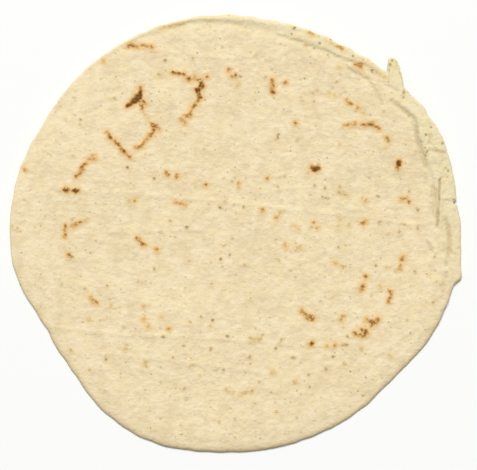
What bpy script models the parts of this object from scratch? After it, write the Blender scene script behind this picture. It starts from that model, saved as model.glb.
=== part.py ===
"""A corn tortilla: one thin, nearly round sheet of pressed dough, lying on a table with its toasted face up.

Metres, +Z up. X runs across the sheet, which is a little wider that way, and Y up the sheet.
The origin is the middle of its outline, on the table.
"""

import math
import random

import bmesh
import bpy
from mathutils import Vector

MM = 0.001

# The sheet. A press leaves a corn tortilla about six inches across and under 2 mm thick.
WIDTH = 153.9 * MM
DEPTH = 148.8 * MM
THICKNESS = 1.7 * MM
RIM_THICKNESS = 1.25 * MM  # the dough thins where it ran out at the rim
RIM_TAPER = 7.0 * MM  # over this much of the sheet, inwards from the rim
RIM_ROUNDING = 0.8 * MM

# Where the rim runs out thinner than that: direction and half width in degrees, and by how much.
RIM_THINNINGS = {
    "bottom": (268.0, 42.0, 0.90 * MM),
    "lower left": (212.0, 16.0, 0.45 * MM),
    "lower right": (324.0, 20.0, 0.45 * MM),
}
RIM_THINNING_REACH = 2.6 * MM  # it rounds off over this much of the sheet

# The round of the rim, from the upper face to the lower one: how far inwards each ring of points lies,
# as a share of the rounding, and how high between the two faces.
RIM_RINGS = ((0.29, 0.85), (0.0, 0.5), (0.29, 0.15))

# How the outline departs from an ellipse: direction and half width in degrees, and how far outwards.
# Directions run anticlockwise from +X.
OUTLINE_SWELLS = {
    "right hollow": (8.0, 8.0, -0.90 * MM),
    "right shoulder": (27.0, 11.0, 0.90 * MM),
    "upper right flat": (62.0, 15.0, -1.40 * MM),
    "top right flat": (81.0, 8.0, -0.75 * MM),
    "top left swell": (112.0, 22.0, 0.55 * MM),
    "upper left flat": (150.0, 10.0, -0.85 * MM),
    "lower left flat": (204.5, 11.0, -3.65 * MM),
    "lower left straight": (219.5, 9.5, -2.70 * MM),
    "lower left shoulder": (248.0, 13.0, 1.75 * MM),
    "bottom right flat": (297.0, 15.0, -0.95 * MM),
    "lower right flat": (318.0, 13.0, -2.70 * MM),
    "right end of the flat": (340.0, 10.0, -0.85 * MM),
    "right, past the end of the lip": (355.0, 5.0, -0.60 * MM),
}

# The turned lip ends in a step at its lower end, and the sheet runs on behind it.
LIP_END = -11.7
LIP_END_REACH = 2.6 * MM
LIP_END_FADE = 5.0
LIP_END_STEP = 1.5

# A tuft of dough that the press squeezed out, still hanging on the rim. It is taller on its right side.
# It leans over to the left, so near it the sheet's rings of points are turned the way that it leans.
TUFT_DIRECTION = 43.75
TUFT_HALF_WIDTH = 2.85
TUFT_REACH = 7.5 * MM
TUFT_SLOPE = 1.9 * MM
TUFT_LEAN = 97.0
TUFT_NARROWING = 2.0
TUFT_BLUNTNESS = 3.0
TUFT_ROUNDING = 0.16  # how much narrower its upper face is than its widest part, as a share
TUFT_ROOT = 4.6 * MM  # it runs out into the sheet this far inwards from the rim
TUFT_TURN = (3.0, 11.0)  # fully turned this near the tuft, and not at all this far off, in degrees
TUFT_CROWDING = (5.0, 10.0)  # points up to the first of these are drawn together round the tuft
TUFT_FADE = (2.6 * MM, 8.0 * MM)  # the turn and the crowding fade out from here to here, inwards

# A split in the right of the rim, and a shallow nick in its lower left: direction, half width and depth.
SPLIT_DIRECTION = 8.0
RIM_NICKS = (
    (SPLIT_DIRECTION, 0.55, 1.4 * MM),
    (207.6, 1.9, 0.40 * MM),
)

# The rim's small detail fades out this far into the sheet.
DETAIL_FADE = 6.0 * MM

# The rim is a little uneven all round, and most of all along the turned lip.
UNEVEN_SEED = 5
UNEVEN_WAVES = 7
UNEVEN_COUNTS = (23, 71)  # fewest and most waves round the rim
UNEVEN_SIZE = 0.035 * MM
UNEVEN_ON_LIP = 0.05 * MM

# The lip: a band along the upper and right rim where the dough was turned and pressed flat.
LIP_MIDDLE = 44.0
LIP_HALF_SPAN = 66.0
LIP_RISE = 0.42 * MM
LIP_GROOVE = 0.25 * MM
LIP_SHOULDER = 1.4 * MM  # half the width of the groove behind the lip
LIP_EDGE = 0.5  # where the lip has its full height, in shoulders out from the groove
LIP_WIDTH = 1.8 * MM
LIP_PLAIN_BY_TUFT = (3.5, 9.0)  # neither lip nor groove this near the tuft, and all of both this far off

# Where the lip is wider or narrower: direction and half width in degrees, and by how much.
LIP_WIDENINGS = {
    "right": (18.0, 34.0, 6.2 * MM),
    "by the tuft": (47.0, 9.0, -2.6 * MM),
    "top right": (72.0, 20.0, 2.0 * MM),
}

# Where the rim curls off the table: direction and half width in degrees, and height.
RIM_LIFTS = {
    "upper right": (42.0, 34.0, 1.5 * MM),
    "bottom": (266.0, 36.0, 0.3 * MM),
    "left": (170.0, 24.0, 0.7 * MM),
}
LIFT_STARTS = 0.55  # as a share of the way from the middle to the rim
LIFT_STEEPENING = 1.5

# The sheet's soft waves: direction of travel in degrees, length, height and start in degrees.
SHEET_WAVES = (
    (22.0, 88.0 * MM, 0.60 * MM, 215.0),
    (97.0, 61.0 * MM, 0.45 * MM, 290.0),
)
WAVE_SUNK = 0.40 * MM  # what is lower than this lies flat on the table

# Places where steam puffed the sheet up between the toasted marks: x, y, radius and height.
PUFFS = (
    (-23.5 * MM, 46.0 * MM, 8.0 * MM, 0.55 * MM),
    (-35.5 * MM, 37.5 * MM, 7.0 * MM, 0.50 * MM),
    (-55.0 * MM, 9.5 * MM, 8.0 * MM, 0.35 * MM),
    (21.0 * MM, 41.0 * MM, 9.5 * MM, 0.35 * MM),
    (40.0 * MM, 22.0 * MM, 9.0 * MM, 0.40 * MM),
    (2.0 * MM, 5.0 * MM, 11.0 * MM, 0.30 * MM),
    (36.0 * MM, -19.0 * MM, 8.0 * MM, 0.35 * MM),
    (-18.0 * MM, -27.0 * MM, 10.0 * MM, 0.35 * MM),
)
PUFF_SOFTNESS = 1.6

# The mesh: the gap between points inside the sheet, the step between points along the rim in degrees,
# and finer steps where the rim needs them (first and last direction, and step).
SHEET_GAP = 3.2 * MM
RIM_STEP = 1.6
FINE_STRETCHES = (
    (TUFT_DIRECTION - 7.0, TUFT_DIRECTION + 7.0, 0.5),
    (SPLIT_DIRECTION - 1.4, SPLIT_DIRECTION + 1.4, 0.35),
    (LIP_END - 2.4, LIP_END + 2.4, 0.8),
)

SHARP_ANGLE = 55.0
DOUGH_COLOUR = (0.83, 0.70, 0.46, 1.0)
DOUGH_ROUGHNESS = 0.85


def turn_between(a, b):
    """The turn from direction b to direction a in degrees, from -180 to 180."""
    return (a - b + 180.0) % 360.0 - 180.0


def bell(offset, half_width):
    """1 in the middle, and falling to nothing about twice the half width away."""
    return math.exp(-((offset / half_width) ** 2))


def ease(value, low, high):
    """0 up to low, 1 from high, and smooth in between."""
    share = min(1.0, max(0.0, (value - low) / (high - low)))
    return share * share * (3.0 - 2.0 * share)


def uneven_waves():
    draw = random.Random(UNEVEN_SEED)
    return [(draw.randint(*UNEVEN_COUNTS), draw.uniform(0, math.tau)) for _ in range(UNEVEN_WAVES)]


WAVES_ROUND_RIM = uneven_waves()


def along_lip(direction):
    """1 on the turned lip and 0 on the plain rim."""
    return bell(turn_between(direction, LIP_MIDDLE), LIP_HALF_SPAN) * ease(
        turn_between(direction, LIP_END), -LIP_END_STEP, LIP_END_STEP
    )


def swell(direction, swells):
    """The sum of soft bells round the rim: each has a middle, a half width and a height."""
    return sum(
        height * bell(turn_between(direction, middle), half_width) for middle, half_width, height in swells
    )


def lip_width(direction):
    return LIP_WIDTH + swell(direction, LIP_WIDENINGS.values())


def smooth_rim(direction):
    """The distance from the middle to the rim, without its small detail."""
    angle = math.radians(direction)
    half_w, half_d = WIDTH / 2, DEPTH / 2
    reach = half_w * half_d / math.hypot(half_d * math.cos(angle), half_w * math.sin(angle))
    return reach + swell(direction, OUTLINE_SWELLS.values())


def rim_step(direction):
    """The small detail of the rim, as a step outwards."""
    angle = math.radians(direction)
    past_end = turn_between(direction, LIP_END)
    step = LIP_END_REACH * ease(past_end, -LIP_END_STEP, LIP_END_STEP)
    step *= math.exp(-max(0.0, past_end) / LIP_END_FADE)
    step -= swell(direction, RIM_NICKS)
    size = UNEVEN_SIZE + UNEVEN_ON_LIP * along_lip(direction)
    return step + size * sum(math.sin(count * angle + start) for count, start in WAVES_ROUND_RIM)


def round_tuft(direction, inwards):
    """A direction drawn towards the tuft, so that points crowd round its outline.

    Returns it with where it lies across the tuft, from -1 at its left side to 1 at its right, and how far
    the tuft reaches there, as a share.
    """
    off = turn_between(TUFT_DIRECTION, direction)
    side = math.copysign(1.0, off)
    near, far = TUFT_CROWDING
    if abs(off) > far:
        return direction, side, 0.0
    corner = math.pi / 2 * min(1.0, abs(off) / near)
    across = math.sin(corner) ** (2.0 / TUFT_BLUNTNESS)
    blunt = max(0.0, math.cos(corner)) ** (2.0 / TUFT_BLUNTNESS)
    half_width = TUFT_HALF_WIDTH * (1.0 - TUFT_ROUNDING * ease(inwards, 0.0, RIM_ROUNDING))
    drawn_to = half_width * across + (far - half_width) * max(0.0, abs(off) - near) / (far - near)
    drawn = (drawn_to - abs(off)) * (1.0 - ease(inwards, *TUFT_FADE))
    return direction - side * drawn, side * across, blunt * (1.0 - ease(inwards, RIM_ROUNDING, TUFT_ROOT))


def place_from_rim(direction, inwards):
    """A place in the sheet this far inwards from the rim."""
    direction, across, tuft = round_tuft(direction, inwards)
    angle = math.radians(direction)
    outwards = Vector((math.cos(angle), math.sin(angle)))
    kept = max(0.0, 1.0 - inwards / DETAIL_FADE) ** 2
    place = outwards * (smooth_rim(direction) - inwards + rim_step(direction) * kept)
    lean = math.radians(TUFT_LEAN + TUFT_NARROWING * across)
    leaning = Vector((math.cos(lean), math.sin(lean)))
    turned = inwards * (1.0 - ease(abs(turn_between(direction, TUFT_DIRECTION)), *TUFT_TURN))
    turned *= 1.0 - ease(inwards, *TUFT_FADE)
    return place + (outwards - leaning) * turned + leaning * (TUFT_REACH + TUFT_SLOPE * across) * tuft


def lift_off_table(place, direction, share):
    """How far the underside stands off the table."""
    height = -WAVE_SUNK
    for heading, length, size, start in SHEET_WAVES:
        along = place.x * math.cos(math.radians(heading)) + place.y * math.sin(math.radians(heading))
        height += size * math.sin(math.tau * along / length + math.radians(start))
    curl = swell(direction, RIM_LIFTS.values())
    return max(0.0, height) + curl * ease(share, LIFT_STARTS, 1.0) ** LIFT_STEEPENING


def thickness_at(place, direction, inwards):
    """The dough's thickness, with its puffs, and with the lip and the groove behind it."""
    thick = RIM_THICKNESS + (THICKNESS - RIM_THICKNESS) * ease(inwards, 0.0, RIM_TAPER)
    near_rim = max(0.0, 1.0 - inwards / RIM_THINNING_REACH)
    thick -= swell(direction, RIM_THINNINGS.values()) * (1.0 - math.sqrt(1.0 - near_rim**2))
    for x, y, radius, height in PUFFS:
        thick += height * bell((place - Vector((x, y))).length, radius / PUFF_SOFTNESS)
    from_groove = (lip_width(direction) - inwards) / LIP_SHOULDER
    lip = LIP_RISE * ease(from_groove, 0.0, LIP_EDGE)
    groove = LIP_GROOVE * max(0.0, 1.0 - abs(from_groove))
    off_tuft = ease(abs(turn_between(direction, TUFT_DIRECTION)), *LIP_PLAIN_BY_TUFT)
    return thick + (lip - groove) * along_lip(direction) * off_tuft


def rim_directions():
    """Directions round the rim, closer together where it has detail."""
    found = [step * RIM_STEP for step in range(int(360 / RIM_STEP))]
    for first, last, step in FINE_STRETCHES:
        found = [d for d in found if not -step / 2 < turn_between(d, first) < last - first + step / 2]
        found += [(first + n * step) % 360.0 for n in range(round((last - first) / step) + 1)]
    return sorted(found)


def sheet_rings():
    """The sheet's points in rings, from the middle outwards.

    Each point is its place, its direction, its share of the way to the rim and its distance from the rim.
    """
    rings = [[(Vector((0.0, 0.0)), 0.0, 0.0, smooth_rim(0.0))]]
    steps = round((min(WIDTH, DEPTH) / 2 - LIP_WIDTH - LIP_SHOULDER) / SHEET_GAP)
    for step in range(1, steps):
        share = step / steps
        count = max(6, round(math.tau * share * WIDTH / 2 / SHEET_GAP))
        ring = []
        for n in range(count):
            direction = (n + 0.5 * (step % 2)) * 360.0 / count
            inner_edge = smooth_rim(direction) - lip_width(direction) - LIP_SHOULDER
            inwards = smooth_rim(direction) - share * inner_edge
            ring.append((place_from_rim(direction, inwards), direction, share, inwards))
        rings.append(ring)
    for from_groove in (-1.0, 0.0, LIP_EDGE):
        rings.append([ring_point(d, lip_width(d) - from_groove * LIP_SHOULDER) for d in rim_directions()])
    rings.append([ring_point(d, RIM_ROUNDING) for d in rim_directions()])
    return rings


def ring_point(direction, inwards):
    place = place_from_rim(direction, inwards)
    return place, direction, 1.0 - inwards / smooth_rim(direction), inwards


def stitch(inner, outer):
    """Triangles between two rings of (vertex, direction), which may have different counts."""
    if len(inner) == 1:
        return [(inner[0][0], outer[n - 1][0], outer[n][0]) for n in range(len(outer))]
    found = []
    i = o = 0
    while i < len(inner) or o < len(outer):
        next_inner = inner[(i + 1) % len(inner)][1] + (360.0 if i + 1 >= len(inner) else 0.0)
        next_outer = outer[(o + 1) % len(outer)][1] + (360.0 if o + 1 >= len(outer) else 0.0)
        here_inner, here_outer = inner[i % len(inner)][0], outer[o % len(outer)][0]
        if o < len(outer) and (i >= len(inner) or next_outer <= next_inner):
            found.append((here_inner, here_outer, outer[(o + 1) % len(outer)][0]))
            o += 1
        else:
            found.append((here_inner, here_outer, inner[(i + 1) % len(inner)][0]))
            i += 1
    return found


def add_face_of_sheet(bm, rings, height_of, facing_up):
    """One face of the sheet. Returns its outer ring.

    Both faces are split alike, so that the dough keeps its thickness.
    """
    made = []
    for ring in rings:
        made.append([(bm.verts.new((*point[0], height_of(*point))), point[1]) for point in ring])
    for inner, outer in zip(made, made[1:]):
        for corners in stitch(inner, outer):
            bm.faces.new(corners if facing_up else corners[::-1])
    return made[-1]


def rim_ring(bm, upper_edge, lower_edge, inwards, height):
    """One ring of points on the round of the rim."""
    ring = []
    for (upper, direction), (lower, _) in zip(upper_edge, lower_edge):
        place = place_from_rim(direction, inwards * RIM_ROUNDING)
        level = lower.co.z + height * (upper.co.z - lower.co.z)
        ring.append((bm.verts.new((*place, level)), direction))
    return ring


def underside(place, direction, share, inwards):
    return lift_off_table(place, direction, share)


def upper_side(place, direction, share, inwards):
    return lift_off_table(place, direction, share) + thickness_at(place, direction, inwards)


def sheet_mesh():
    bm = bmesh.new()
    rings = sheet_rings()
    upper_edge = add_face_of_sheet(bm, rings, upper_side, True)
    lower_edge = add_face_of_sheet(bm, rings, underside, False)
    edges = [upper_edge, *(rim_ring(bm, upper_edge, lower_edge, *ring) for ring in RIM_RINGS), lower_edge]
    for first, second in zip(edges, edges[1:]):
        for corners in stitch(first, second):
            bm.faces.new(corners)
    middle = Vector([(min(v.co[k] for v in bm.verts) + max(v.co[k] for v in bm.verts)) / 2 for k in (0, 1)])
    bmesh.ops.translate(bm, verts=bm.verts, vec=(-middle.x, -middle.y, 0.0))
    bmesh.ops.recalc_face_normals(bm, faces=bm.faces)
    mesh = bpy.data.meshes.new("tortilla")
    bm.to_mesh(mesh)
    bm.free()
    mesh.shade_smooth()
    mesh.set_sharp_from_angle(angle=math.radians(SHARP_ANGLE))
    return mesh


def dough_material():
    material = bpy.data.materials.new("dough")
    material.use_nodes = True
    shader = material.node_tree.nodes["Principled BSDF"]
    shader.inputs["Base Color"].default_value = DOUGH_COLOUR
    shader.inputs["Roughness"].default_value = DOUGH_ROUGHNESS
    shader.inputs["Metallic"].default_value = 0.0
    return material


def main():
    for leftover in list(bpy.data.objects):
        bpy.data.objects.remove(leftover)
    tortilla = bpy.data.objects.new("tortilla", sheet_mesh())
    tortilla.data.materials.append(dough_material())
    bpy.context.scene.collection.objects.link(tortilla)


main()
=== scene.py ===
# %% [markdown]
# # A corn tortilla
#
# A corn tortilla is one thin sheet of pressed maize dough. This lesson dresses the plain solid of it:
# a finer sheet with the same outline and the same lie on the table, its wrinkles, its turned lip and its
# toasted marks. First the solid is loaded; its box is read later, to centre the dressed sheet on it.

# %% Load the solid
import math
import random

import bpy
from mathutils import Matrix, Vector


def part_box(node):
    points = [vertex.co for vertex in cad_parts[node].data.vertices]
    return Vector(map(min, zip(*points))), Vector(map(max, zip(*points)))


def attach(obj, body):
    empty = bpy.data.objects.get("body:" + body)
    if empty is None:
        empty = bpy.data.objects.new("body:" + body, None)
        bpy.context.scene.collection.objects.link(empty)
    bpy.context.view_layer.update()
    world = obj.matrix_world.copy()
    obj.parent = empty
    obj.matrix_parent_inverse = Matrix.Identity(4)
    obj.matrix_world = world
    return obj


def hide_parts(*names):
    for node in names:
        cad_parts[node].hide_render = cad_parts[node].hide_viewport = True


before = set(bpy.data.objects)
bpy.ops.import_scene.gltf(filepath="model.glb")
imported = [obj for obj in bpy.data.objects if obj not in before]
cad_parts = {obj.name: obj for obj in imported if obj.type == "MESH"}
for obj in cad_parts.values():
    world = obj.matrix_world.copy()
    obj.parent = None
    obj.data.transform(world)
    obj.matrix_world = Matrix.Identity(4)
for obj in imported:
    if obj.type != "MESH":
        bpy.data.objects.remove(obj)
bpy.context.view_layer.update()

MM = 0.001

# %% [markdown]
# ## Sums on sockets
#
# The sheet's shape and its finish are both worked out by nodes. Adding each Math node by hand hides the
# sum that it stands for, so this small class wraps a socket. Python's own operators then add the nodes:
# `1 - mask` becomes a Subtract node. The same class serves Geometry Nodes and shaders alike, because
# both kinds of tree use the same Math nodes.

# %% A socket that can be reckoned with
class Reading:
    """What comes out of one socket. Arithmetic on it adds the nodes that work it out."""

    def __init__(self, plan, socket):
        self.plan = plan
        self.socket = socket

    def __add__(self, other):
        return self.plan.sum("ADD", self, other)

    def __sub__(self, other):
        return self.plan.sum("SUBTRACT", self, other)

    def __mul__(self, other):
        return self.plan.sum("MULTIPLY", self, other)

    def __truediv__(self, other):
        return self.plan.sum("DIVIDE", self, other)

    def __pow__(self, other):
        return self.plan.sum("POWER", self, other)

    def __rsub__(self, other):
        return self.plan.sum("SUBTRACT", other, self)

    def __rtruediv__(self, other):
        return self.plan.sum("DIVIDE", other, self)

    def __neg__(self):
        return self.plan.sum("MULTIPLY", self, -1.0)

    __radd__ = __add__
    __rmul__ = __mul__


print("a socket can now be added, subtracted, multiplied, divided and raised")

# %% A tree that is being laid out
HALF_TURN = 180.0
NOISE_MIDDLE = 0.5


class Plan:
    """A node tree while it is being laid out."""

    def __init__(self, tree):
        self.tree = tree

    def add(self, kind, settings=None, sockets=None, out=0):
        """Adds a node: its settings first, then the values or links of its sockets.

        A socket is given by its name or, where a node has several of one name, by its place in the list.
        """
        node = self.tree.nodes.new(kind)
        for name, setting in (settings or {}).items():
            setattr(node, name, setting)
        for key, value in (sockets or {}).items():
            self.put(value, node.inputs[key])
        return Reading(self, node.outputs[out]) if node.outputs else node

    def put(self, value, socket):
        if isinstance(value, Reading):
            self.tree.links.new(value.socket, socket)
        else:
            socket.default_value = value

    def sum(self, operation, *values):
        return self.add("ShaderNodeMath", {"operation": operation}, dict(enumerate(values)))

    def vector(self, x, y, z=0.0):
        return self.add("ShaderNodeCombineXYZ", None, {0: x, 1: y, 2: z})

    def parts_of(self, vector):
        split = self.add("ShaderNodeSeparateXYZ", None, {0: vector}).socket.node
        return [Reading(self, socket) for socket in split.outputs]

    def away(self, x, y, middle):
        """How far (x, y) is from the middle."""
        return self.sum("SQRT", (x - middle[0]) ** 2.0 + (y - middle[1]) ** 2.0)

    def noise(self, vector, size, detail=2.0, roughness=0.5):
        """Soft noise from 0 to 1 with grains of about this size."""
        sockets = {"Vector": vector, "Scale": 1.0 / size, "Detail": detail, "Roughness": roughness}
        return self.add("ShaderNodeTexNoise", None, sockets)

    def waver(self, vector, size, detail=2.0, roughness=0.5):
        """The same noise from about -0.5 to 0.5, for what goes astray to both sides."""
        return self.noise(vector, size, detail, roughness) - NOISE_MIDDLE

    def ease(self, value, low, high, first=0.0, last=1.0):
        """`first` up to low, `last` from high, and smooth in between."""
        settings = {"interpolation_type": "SMOOTHSTEP"}
        sockets = {"Value": value, "From Min": low, "From Max": high, "To Min": first, "To Max": last}
        return self.add("ShaderNodeMapRange", settings, sockets)

    def fade(self, value, low, high):
        """1 up to low, 0 from high, and smooth in between."""
        return self.ease(value, low, high, 1.0, 0.0)

    def turn(self, direction, middle):
        """The turn from one direction to another, from -180 to 180 degrees."""
        return self.sum("WRAP", direction - middle, HALF_TURN, -HALF_TURN)

    def bell(self, offset, half_width):
        """1 in the middle, and falling off smoothly on both sides."""
        share = offset / half_width
        return self.sum("EXPONENT", -(share * share))

    def swell(self, direction, swells, start=0.0):
        """The sum of soft bells round the rim: each has a middle, a half width and a height."""
        for middle, half_width, height in swells:
            start = start + height * self.bell(self.turn(direction, middle), half_width)
        return start


print("a plan has these helpers:", ", ".join(name for name in vars(Plan) if name[0] != "_"))

# %% [markdown]
# ## The blank
#
# The sheet starts as a flat round blank of radius 1. Its height isn't a height yet: z is 1 all over the
# upper face, -1 all over the underside, and runs from one to the other round the rim. The press reads
# it as "which side is this". The points lie in rings half a millimetre apart, with fewer points on the
# inner rings, so that all the triangles are about the same size. A plain polar grid would crowd its
# points in the middle. The underside is coarser, as its relief is softer.

# %% Rings of points
SHEET_RADIUS = 77.0
UPPER_GAP = 0.52
UNDER_GAP = 1.15
RIM_POINTS = round(math.tau * SHEET_RADIUS / UPPER_GAP)
RIM_LEVELS = (0.93, 0.72, 0.40, 0.0, -0.40, -0.72, -0.93)
FEWEST_POINTS = 6


def face_rings(gap, side):
    """The rings of one face as lists of (x, y, side), from the middle to the rim."""
    steps = round(SHEET_RADIUS / gap)
    rings = [[(0.0, 0.0, side)]]
    for step in range(1, steps):
        count = max(FEWEST_POINTS, round(math.tau * step))
        rings.append(ring(count, step / steps, side, (step % 2) / 2))
    return rings


def ring(count, share, side, start=0.0):
    turns = [math.tau * (n + start) / count for n in range(count)]
    return [(share * math.cos(turn), share * math.sin(turn), side) for turn in turns]


print("the upper face has", len(face_rings(UPPER_GAP, 1.0)), "rings inside its rim")

# %% Stitched into a closed blank
def stitch(inner, outer):
    """Triangles between two rings of points, given by their first number and their count."""
    (inner_first, inner_count), (outer_first, outer_count) = inner, outer
    if inner_count == 1:
        fan = range(outer_count)
        return [(inner_first, outer_first + n, outer_first + (n + 1) % outer_count) for n in fan]
    found = []
    i = o = 0
    while i < inner_count or o < outer_count:
        here_inner = inner_first + i % inner_count
        here_outer = outer_first + o % outer_count
        if o < outer_count and (i >= inner_count or (o + 1) * inner_count <= (i + 1) * outer_count):
            found.append((here_inner, here_outer, outer_first + (o + 1) % outer_count))
            o += 1
        else:
            found.append((here_inner, here_outer, inner_first + (i + 1) % inner_count))
            i += 1
    return found


def placed(name, data):
    """An object for this mesh, light or camera, in the scene."""
    made = bpy.data.objects.new(name, data)
    bpy.context.scene.collection.objects.link(made)
    return made


def make_blank():
    rim = [ring(RIM_POINTS, 1.0, level) for level in (1.0, *RIM_LEVELS, -1.0)]
    rings = face_rings(UPPER_GAP, 1.0) + rim + face_rings(UNDER_GAP, -1.0)[::-1]
    points = []
    spans = []
    for points_of_ring in rings:
        spans.append((len(points), len(points_of_ring)))
        points += points_of_ring
    faces = []
    for first, second in zip(spans, spans[1:]):
        if second[1] == 1:
            faces += [corners[::-1] for corners in stitch(second, first)]
        else:
            faces += stitch(first, second)
    mesh = bpy.data.meshes.new("blank")
    mesh.from_pydata(points, [], faces)
    mesh.update()
    return placed("blank", mesh)


blank = make_blank()
print("the blank has", len(blank.data.polygons), "triangles, and", RIM_POINTS, "points round its rim")

# %% [markdown]
# ## Where it toasted
#
# A tortilla touches the griddle only where it isn't puffed up, so it toasts in chains of small brown
# dots. The marks are laid here as strokes and dots, and each is given how strongly it toasted. They were
# placed on the picture, so each point is given in its pixels, with half the width of the mark
# there, and `on_sheet` turns that into millimetres from the middle of the sheet. The marks could be
# painted, but a painting needs an image. As strokes they stay sharp at any size, and each is easy to move.

# %% The picture's scale
PICTURE = (477, 470)
MM_PER_PIXEL = 0.3408
SHEET_MIDDLE = (235.85, 233.15)  # where the sheet's middle lies in the picture, in pixels


def on_sheet(across, down):
    """Millimetres from the middle of the sheet to a point of the picture."""
    return (across - SHEET_MIDDLE[0]) * MM_PER_PIXEL, (SHEET_MIDDLE[1] - down) * MM_PER_PIXEL


print("the picture shows", [round(side * MM_PER_PIXEL, 1) for side in PICTURE], "mm of the table")

# %% How strongly a mark toasted
CHARRED = (1.3, 1.0)  # how dark the middle of a mark is, and how orange the dough is round it
ROASTED = (1.0, 0.95)
TOASTED = (0.76, 0.95)
BROWNED = (0.60, 0.95)
SOOTED = (1.15, 0.25)
FLECKED = (0.68, 0.20)
BLUSHED = (0.42, 0.48)

print("marks toast in", len({CHARRED, ROASTED, TOASTED, BROWNED, SOOTED, FLECKED, BLUSHED}), "ways")

# %% Strokes at the upper left
STROKES = {  # points in the picture: across, down, and half the width of the mark there
    "upper left rim": (TOASTED, (127.5, 46.2, 0.9), (131, 45.6, 1.6), (134.5, 46, 1.2),
        (139, 46.4, 0.9), (144, 45.8, 1.1), (149, 46.6, 0.8), (154, 47.3, 0.5)),
    "top rim, left": (BLUSHED, (161.5, 28.4, 0.9), (167, 26.8, 1.1), (174, 25.6, 1.8), (180, 24.6, 1.7),
        (182.8, 24, 0.8)),
    "hook, head": (CHARRED, (140.6, 87.5, 0.9), (140.6, 91, 1.5), (140.4, 94.5, 2.6), (138.4, 97.5, 3),
        (135.8, 100.2, 3.1), (132.8, 102.8, 2.7), (129.8, 105, 1.9), (127, 106.5, 1)),
    "hook, knot": (BROWNED, (144.8, 102.6, 2.1), (142, 102.9, 2.2), (142.2, 106.5, 1.8),
        (142.8, 110.5, 0.8)),
    "hook, thread": (BLUSHED, (143, 111, 0.7), (146, 115.5, 0.8), (150, 121, 0.7)),
    "hook, elbow": (TOASTED, (151.5, 123.3, 0.9), (154.5, 126, 1.7), (158.8, 128.5, 0.9)),
    "hook, tail": (TOASTED, (155, 128.5, 0.9), (152, 133.3, 1.3), (149.5, 136.5, 1.2),
        (146.5, 139.5, 0.8), (144, 143.2, 0.6)),
    "hook, foot": (BROWNED, (136.5, 147.5, 1.3), (139.5, 147, 1.4), (143, 145.8, 1.3)),
    "slanting chain": (TOASTED, (107, 132, 0.9), (110.5, 136.8, 1.8), (113, 139.8, 0.9),
        (117, 143, 1.2), (119.5, 146, 0.8), (122.5, 150, 1.7), (124.3, 151.8, 1.5), (127.5, 155, 0.6),
        (130, 157, 1)),
    "long chain, top": (TOASTED, (172.5, 73, 1.3), (174.5, 73.2, 1.3), (176.3, 73.3, 0.5),
        (178.8, 73.5, 1.8), (181.3, 74, 0.5), (183.7, 74.8, 1.8), (186, 77, 0.5), (188.4, 79, 2.0)),
    "long chain, middle": (BROWNED, (194.3, 77, 1.5), (194.5, 79, 1.6), (197, 80, 1.3), (202, 79.7, 1.3)),
    "long chain, its dot": (TOASTED, (207.5, 77.2, 1.3), (208.6, 77.5, 1.2)),
    "long chain, body": (ROASTED, (201.5, 83, 1.6), (201.7, 86.5, 2.6), (199.7, 89, 2.1),
        (197.7, 90.7, 2.7), (198.5, 94, 1.5), (200, 97.5, 1.8)),
    "long chain, waist": (BROWNED, (200, 97.5, 1.8), (198, 101, 1.1), (195, 105, 2.1)),
    "long chain, foot": (BROWNED, (195, 105, 2.0), (192.3, 109, 0.7), (190.5, 112, 1.0),
        (189.3, 115.3, 2.1), (185.5, 115, 1.1)),
    "long chain, end": (BROWNED, (181, 119.5, 0.8), (183, 121.3, 1.4), (185.5, 122.5, 0.8)),
    "beside the long chain": (ROASTED, (228.6, 70.1, 1.3), (229, 71, 1.5)),
    "beside the long chain, foot": (TOASTED, (232.3, 76.3, 1.1), (235, 75.9, 1.4)),
    "upright": (TOASTED, (272.3, 80.3, 1), (272.5, 84, 1.5), (272.9, 86.3, 1.7), (271.7, 89, 1),
        (273.3, 92.5, 2.1)),
}
print("strokes of toast:", len(STROKES))

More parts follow.
